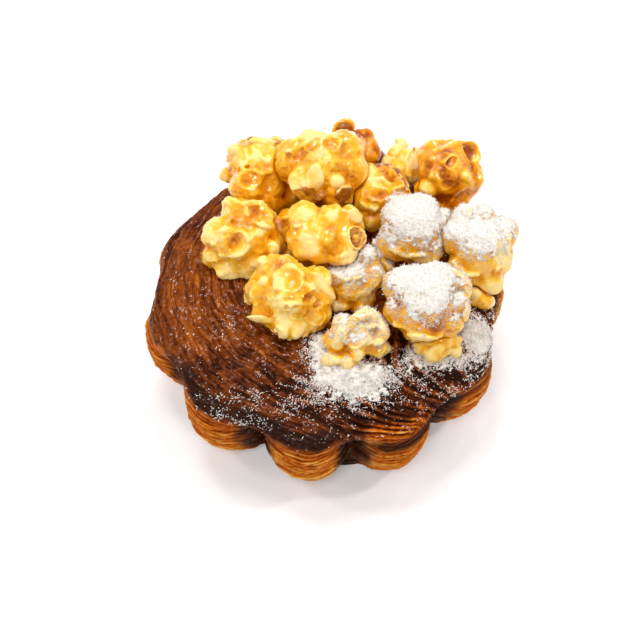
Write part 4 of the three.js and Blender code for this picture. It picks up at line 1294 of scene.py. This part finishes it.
def sugar_cap(corn, seed, made):
    """A coat of sugar on one piece. It thins out, and runs just under the skin where it ends."""
    grid, field, slopes, low = made
    near = np.abs(field) < 2.5
    facing = np.stack([slope[near] for slope in slopes], -1)
    facing /= np.maximum(np.linalg.norm(facing, axis=1, keepdims=True), 1e-6)
    spots = grid[near]
    cover = sugar_cover(corn, spots, facing, seed)
    plain = cluster(corn, (spots - corn["at"]) @ SLOPE_AXES.T) + 0.3
    frayed = 1 - np.abs(2 * cover - 1)
    fluff = 0.2 * noise(spots / 1.8, seed + 60)
    fluff += (0.3 + 0.4 * frayed) * noise(spots / 0.85, seed + 61)
    coat = field.copy()
    coat[near] = mix(field[near], plain, 0.4 * cover) + 0.5 - (SUGAR_DEPTH + fluff) * cover
    return skin_of(coat, low, POPCORN_CELL)


# ==== Sugar ====
def sugar_drift_on_pastry():
    """The thick sugar that lies on the pastry, as points and faces."""
    low = np.array([-24.0, -54.0, 31.0])
    grid = grid_over(low, np.array([57.0, 0.0, 42.5]), DRIFT_CELL)
    x, y = grid[:, :, 0, 0], grid[:, :, 0, 1]
    surface = top_height(x, y)
    ground = np.stack([x, y, surface], -1)
    ragged = 0.75 * rough_noise(ground / 3.0, 7, 3) + 0.75 * noise(ground / 1.2, 9)
    thick = 1.1 * (sugar_on_pastry(x, y) * (1 + ragged) - 1.22)
    thick = np.where(np.hypot(x, y) > 53.5, -1, np.minimum(thick, 1.0))
    thick = thick + 0.4 * noise(ground / 0.9, 12)
    z = grid[..., 2]
    field = np.maximum(z - (surface + 0.25 + thick)[..., None], (surface - 0.4)[..., None] - z)
    return skin_of(field, low, DRIFT_CELL)


def add_node(tree, kind, settings, values):
    """A node of a geometry tree: its settings, then the values or links of its sockets."""
    node = tree.nodes.new(kind)
    for name, setting in settings.items():
        setattr(node, name, setting)
    for key, value in values.items():
        if isinstance(value, bpy.types.NodeSocket):
            tree.links.new(value, node.inputs[key])
        else:
            node.inputs[key].default_value = value
    return node


def crystal_tree():
    """A tree that strews sugar crystals over a skin, as thickly as its "sprinkle" says."""
    tree = bpy.data.node_groups.new("sugar crystals", "GeometryNodeTree")
    face = tree.interface
    face.new_socket("Skin", in_out="INPUT", socket_type="NodeSocketGeometry")
    for name, kind, value in (
        ("Crystals per square metre", "NodeSocketFloat", 1.0e6),
        ("Length", "NodeSocketFloat", CRYSTAL_LENGTH * MM),
        ("Width", "NodeSocketFloat", CRYSTAL_WIDTH * MM),
        ("Seed", "NodeSocketInt", 1),
        ("Finish", "NodeSocketMaterial", None),
    ):
        socket = face.new_socket(name, in_out="INPUT", socket_type=kind)
        if value is not None:
            socket.default_value = value
    face.new_socket("Crystals", in_out="OUTPUT", socket_type="NodeSocketGeometry")
    given = tree.nodes.new("NodeGroupInput").outputs
    sprinkle = add_node(tree, "GeometryNodeInputNamedAttribute", {"data_type": "FLOAT"},
                        {"Name": "sprinkle"})
    density = add_node(tree, "ShaderNodeMath", {"operation": "MULTIPLY"},
                       {0: sprinkle.outputs[0], 1: given["Crystals per square metre"]})
    points = add_node(tree, "GeometryNodeDistributePointsOnFaces", {},
                      {"Mesh": given["Skin"], "Density": density.outputs[0],
                       "Seed": given["Seed"]})
    crystal = add_node(tree, "GeometryNodeMeshCone", {"fill_type": "NGON"},
                       {"Vertices": 3, "Side Segments": 1, "Radius Top": 0.0,
                        "Radius Bottom": given["Width"], "Depth": given["Length"]})
    tumble = add_node(tree, "FunctionNodeRandomValue", {"data_type": "FLOAT_VECTOR"},
                      {"Min": (0, 0, 0), "Max": (6.283, 6.283, 6.283), "Seed": given["Seed"]})
    grow = add_node(tree, "FunctionNodeRandomValue", {"data_type": "FLOAT_VECTOR"},
                    {"Min": (0.5, 0.6, 0.35), "Max": (1.3, 1.4, 1.25), "Seed": given["Seed"]})
    placed = add_node(tree, "GeometryNodeInstanceOnPoints", {},
                      {"Points": points.outputs["Points"], "Instance": crystal.outputs["Mesh"],
                       "Rotation": tumble.outputs[0], "Scale": grow.outputs[0]})
    real = add_node(tree, "GeometryNodeRealizeInstances", {}, {0: placed.outputs[0]})
    dressed = add_node(tree, "GeometryNodeSetMaterial", {},
                       {"Geometry": real.outputs[0], "Material": given["Finish"]})
    add_node(tree, "NodeGroupOutput", {}, {"Crystals": dressed.outputs[0]})
    return tree


def strew(tree, name, skin, per_square_metre, seed, finish):
    """Runs the crystal tree on a skin and keeps the crystals alone, as a plain mesh."""
    modifier = skin.modifiers.new("crystals", "NODES")
    modifier.node_group = tree
    identifiers = {item.name: item.identifier for item in tree.interface.items_tree}
    modifier[identifiers["Crystals per square metre"]] = per_square_metre
    modifier[identifiers["Length"]] = CRYSTAL_LENGTH * MM
    modifier[identifiers["Width"]] = CRYSTAL_WIDTH * MM
    modifier[identifiers["Seed"]] = seed
    modifier[identifiers["Finish"]] = finish
    graph = bpy.context.evaluated_depsgraph_get()
    mesh = bpy.data.meshes.new_from_object(skin.evaluated_get(graph))
    skin.modifiers.remove(modifier)
    mesh.name = name
    crystals = bpy.data.objects.new(name, mesh)
    bpy.context.scene.collection.objects.link(crystals)
    return crystals


def strew_all(tree, name, skins, per_square_metre, seed, finish):
    """Crystals on several skins, as one piece."""
    parts = []
    for number, skin in enumerate(skins):
        part = strew(tree, name, skin, per_square_metre, seed + number, finish)
        places = np.empty(len(part.data.vertices) * 3)
        part.data.vertices.foreach_get("co", places)
        corners = np.empty(len(part.data.loops), dtype=int)
        part.data.loops.foreach_get("vertex_index", corners)
        parts.append((places.reshape(-1, 3) / MM, corners.reshape(-1, 3)))
        bpy.data.objects.remove(part)
    return joined(name, parts, finish)


# ==== The stage ====
# Each lamp is a name, a place and a size in metres, and a power in watts. All aim at the heap.
LAMPS = (
    ("key left", (-0.32, 0.3, 0.84), 0.11, 0.85),
    ("key right", (-0.02, 0.42, 0.84), 0.11, 0.85),
    ("key high", (-0.16, 0.18, 0.92), 0.26, 2.3),
    ("overhead", (0.16, 0.3, 0.9), 0.1, 0.75),
    ("far right", (0.36, 0.22, 0.84), 0.1, 0.65),
    ("right", (0.52, -0.02, 0.66), 0.1, 1.5),
    ("front", (-0.1, -0.44, 0.78), 0.2, 1.85),
    ("left", (-0.55, 0.0, 0.66), 0.1, 0.9),
    ("back", (0.06, 0.66, 0.5), 0.12, 0.8),
    ("left glint", (-0.34, -0.2, 0.86), 0.05, 0.35),
    ("right glint", (0.3, -0.14, 0.9), 0.05, 0.35),
)
LAMP_TARGET = Vector((0, 0, 0.035))
CAMERA_DISTANCE = 560.0
CAMERA_TARGET = np.array([0, 0, 33.0]) - 1.56 * ACROSS - 7.19 * UP


def make_floor():
    """A pale table, which isn't part of the object."""
    bpy.ops.mesh.primitive_plane_add(size=6, location=(0, 0, 0))
    floor = bpy.context.object
    floor.name = "floor"
    floor.data.materials.append(floor_finish())


def make_surround():
    """A white surround, bright near the horizon and dim overhead."""
    world = bpy.data.worlds.new("surround")
    bpy.context.scene.world = world
    world.use_nodes = True
    nodes, links = world.node_tree.nodes, world.node_tree.links
    sky = nodes["Background"]
    way = nodes.new("ShaderNodeTexCoord")
    split = nodes.new("ShaderNodeSeparateXYZ")
    fade = nodes.new("ShaderNodeMapRange")
    for key, value in (("From Min", 0.25), ("From Max", 0.7), ("To Min", 0.62), ("To Max", 0.15)):
        fade.inputs[key].default_value = value
    links.new(way.outputs["Generated"], split.inputs[0])
    links.new(split.outputs["Z"], fade.inputs["Value"])
    links.new(fade.outputs[0], sky.inputs["Strength"])
    sky.inputs["Color"].default_value = (1.0, 1.0, 1.0, 1.0)


def make_lamp(name, place, size, power):
    """A round, soft lamp that aims at the heap."""
    lamp = bpy.data.lights.new(name, "AREA")
    lamp.shape = "DISK"
    lamp.size = size
    lamp.energy = power
    holder = bpy.data.objects.new(name, lamp)
    holder.location = place
    aim = LAMP_TARGET - Vector(place)
    holder.rotation_euler = aim.to_track_quat("-Z", "Y").to_euler()
    bpy.context.scene.collection.objects.link(holder)


def make_camera():
    """A camera that looks square onto the slope of the heap."""
    camera = bpy.data.cameras.new("camera")
    camera.lens = 100.8
    camera.sensor_width = 36
    camera.clip_start, camera.clip_end = 0.01, 20
    eye = bpy.data.objects.new("camera", camera)
    eye.location = Vector((CAMERA_TARGET + OUT * CAMERA_DISTANCE) * MM)
    eye.rotation_euler = (math.pi / 2 - SLOPE, 0, 0)
    scene = bpy.context.scene
    scene.collection.objects.link(eye)
    scene.camera = eye
    scene.view_settings.view_transform = "Standard"
    scene.view_settings.look = "None"


# ==== The whole ====
make_floor()
make_surround()
for lamp in LAMPS:
    make_lamp(*lamp)
make_camera()
crust, caramel_corn, sugar = crust_finish(), popcorn_finish(), sugar_finish()

side, top = make_pastry(crust)
for part in (side, top):
    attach(part, "root")
    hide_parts("pastry")

caps, sugared = [], []
for number, corn in enumerate(POPCORN):
    seed = 100 * (number + 1)
    piece, made = make_popcorn(corn, seed, caramel_corn)
    if has_cap(corn):
        caps.append(sugar_cap(corn, seed, made))
        sugared.append(piece)
    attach(piece, "root")
    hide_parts(corn["name"])

powder = joined("powdered_sugar", caps + [sugar_drift_on_pastry()], sugar)
rises = np.array([vertex.normal.z for vertex in powder.data.vertices])
set_numbers(powder.data, "sprinkle", smoothstep(-0.1, 0.4, rises))

crystals = crystal_tree()
strewn = [
    strew(crystals, "sugar_crystals_on_pastry", top, CRYSTALS_ON_PASTRY, 3, sugar),
    strew(crystals, "sugar_crystals_on_powder", powder, CRYSTALS_ON_POWDER, 5, sugar),
    strew_all(crystals, "sugar_crystals_on_popcorn", sugared, CRYSTALS_ON_POPCORN, 7, sugar),
]
for piece in [powder, *strewn]:
    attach(piece, "root")
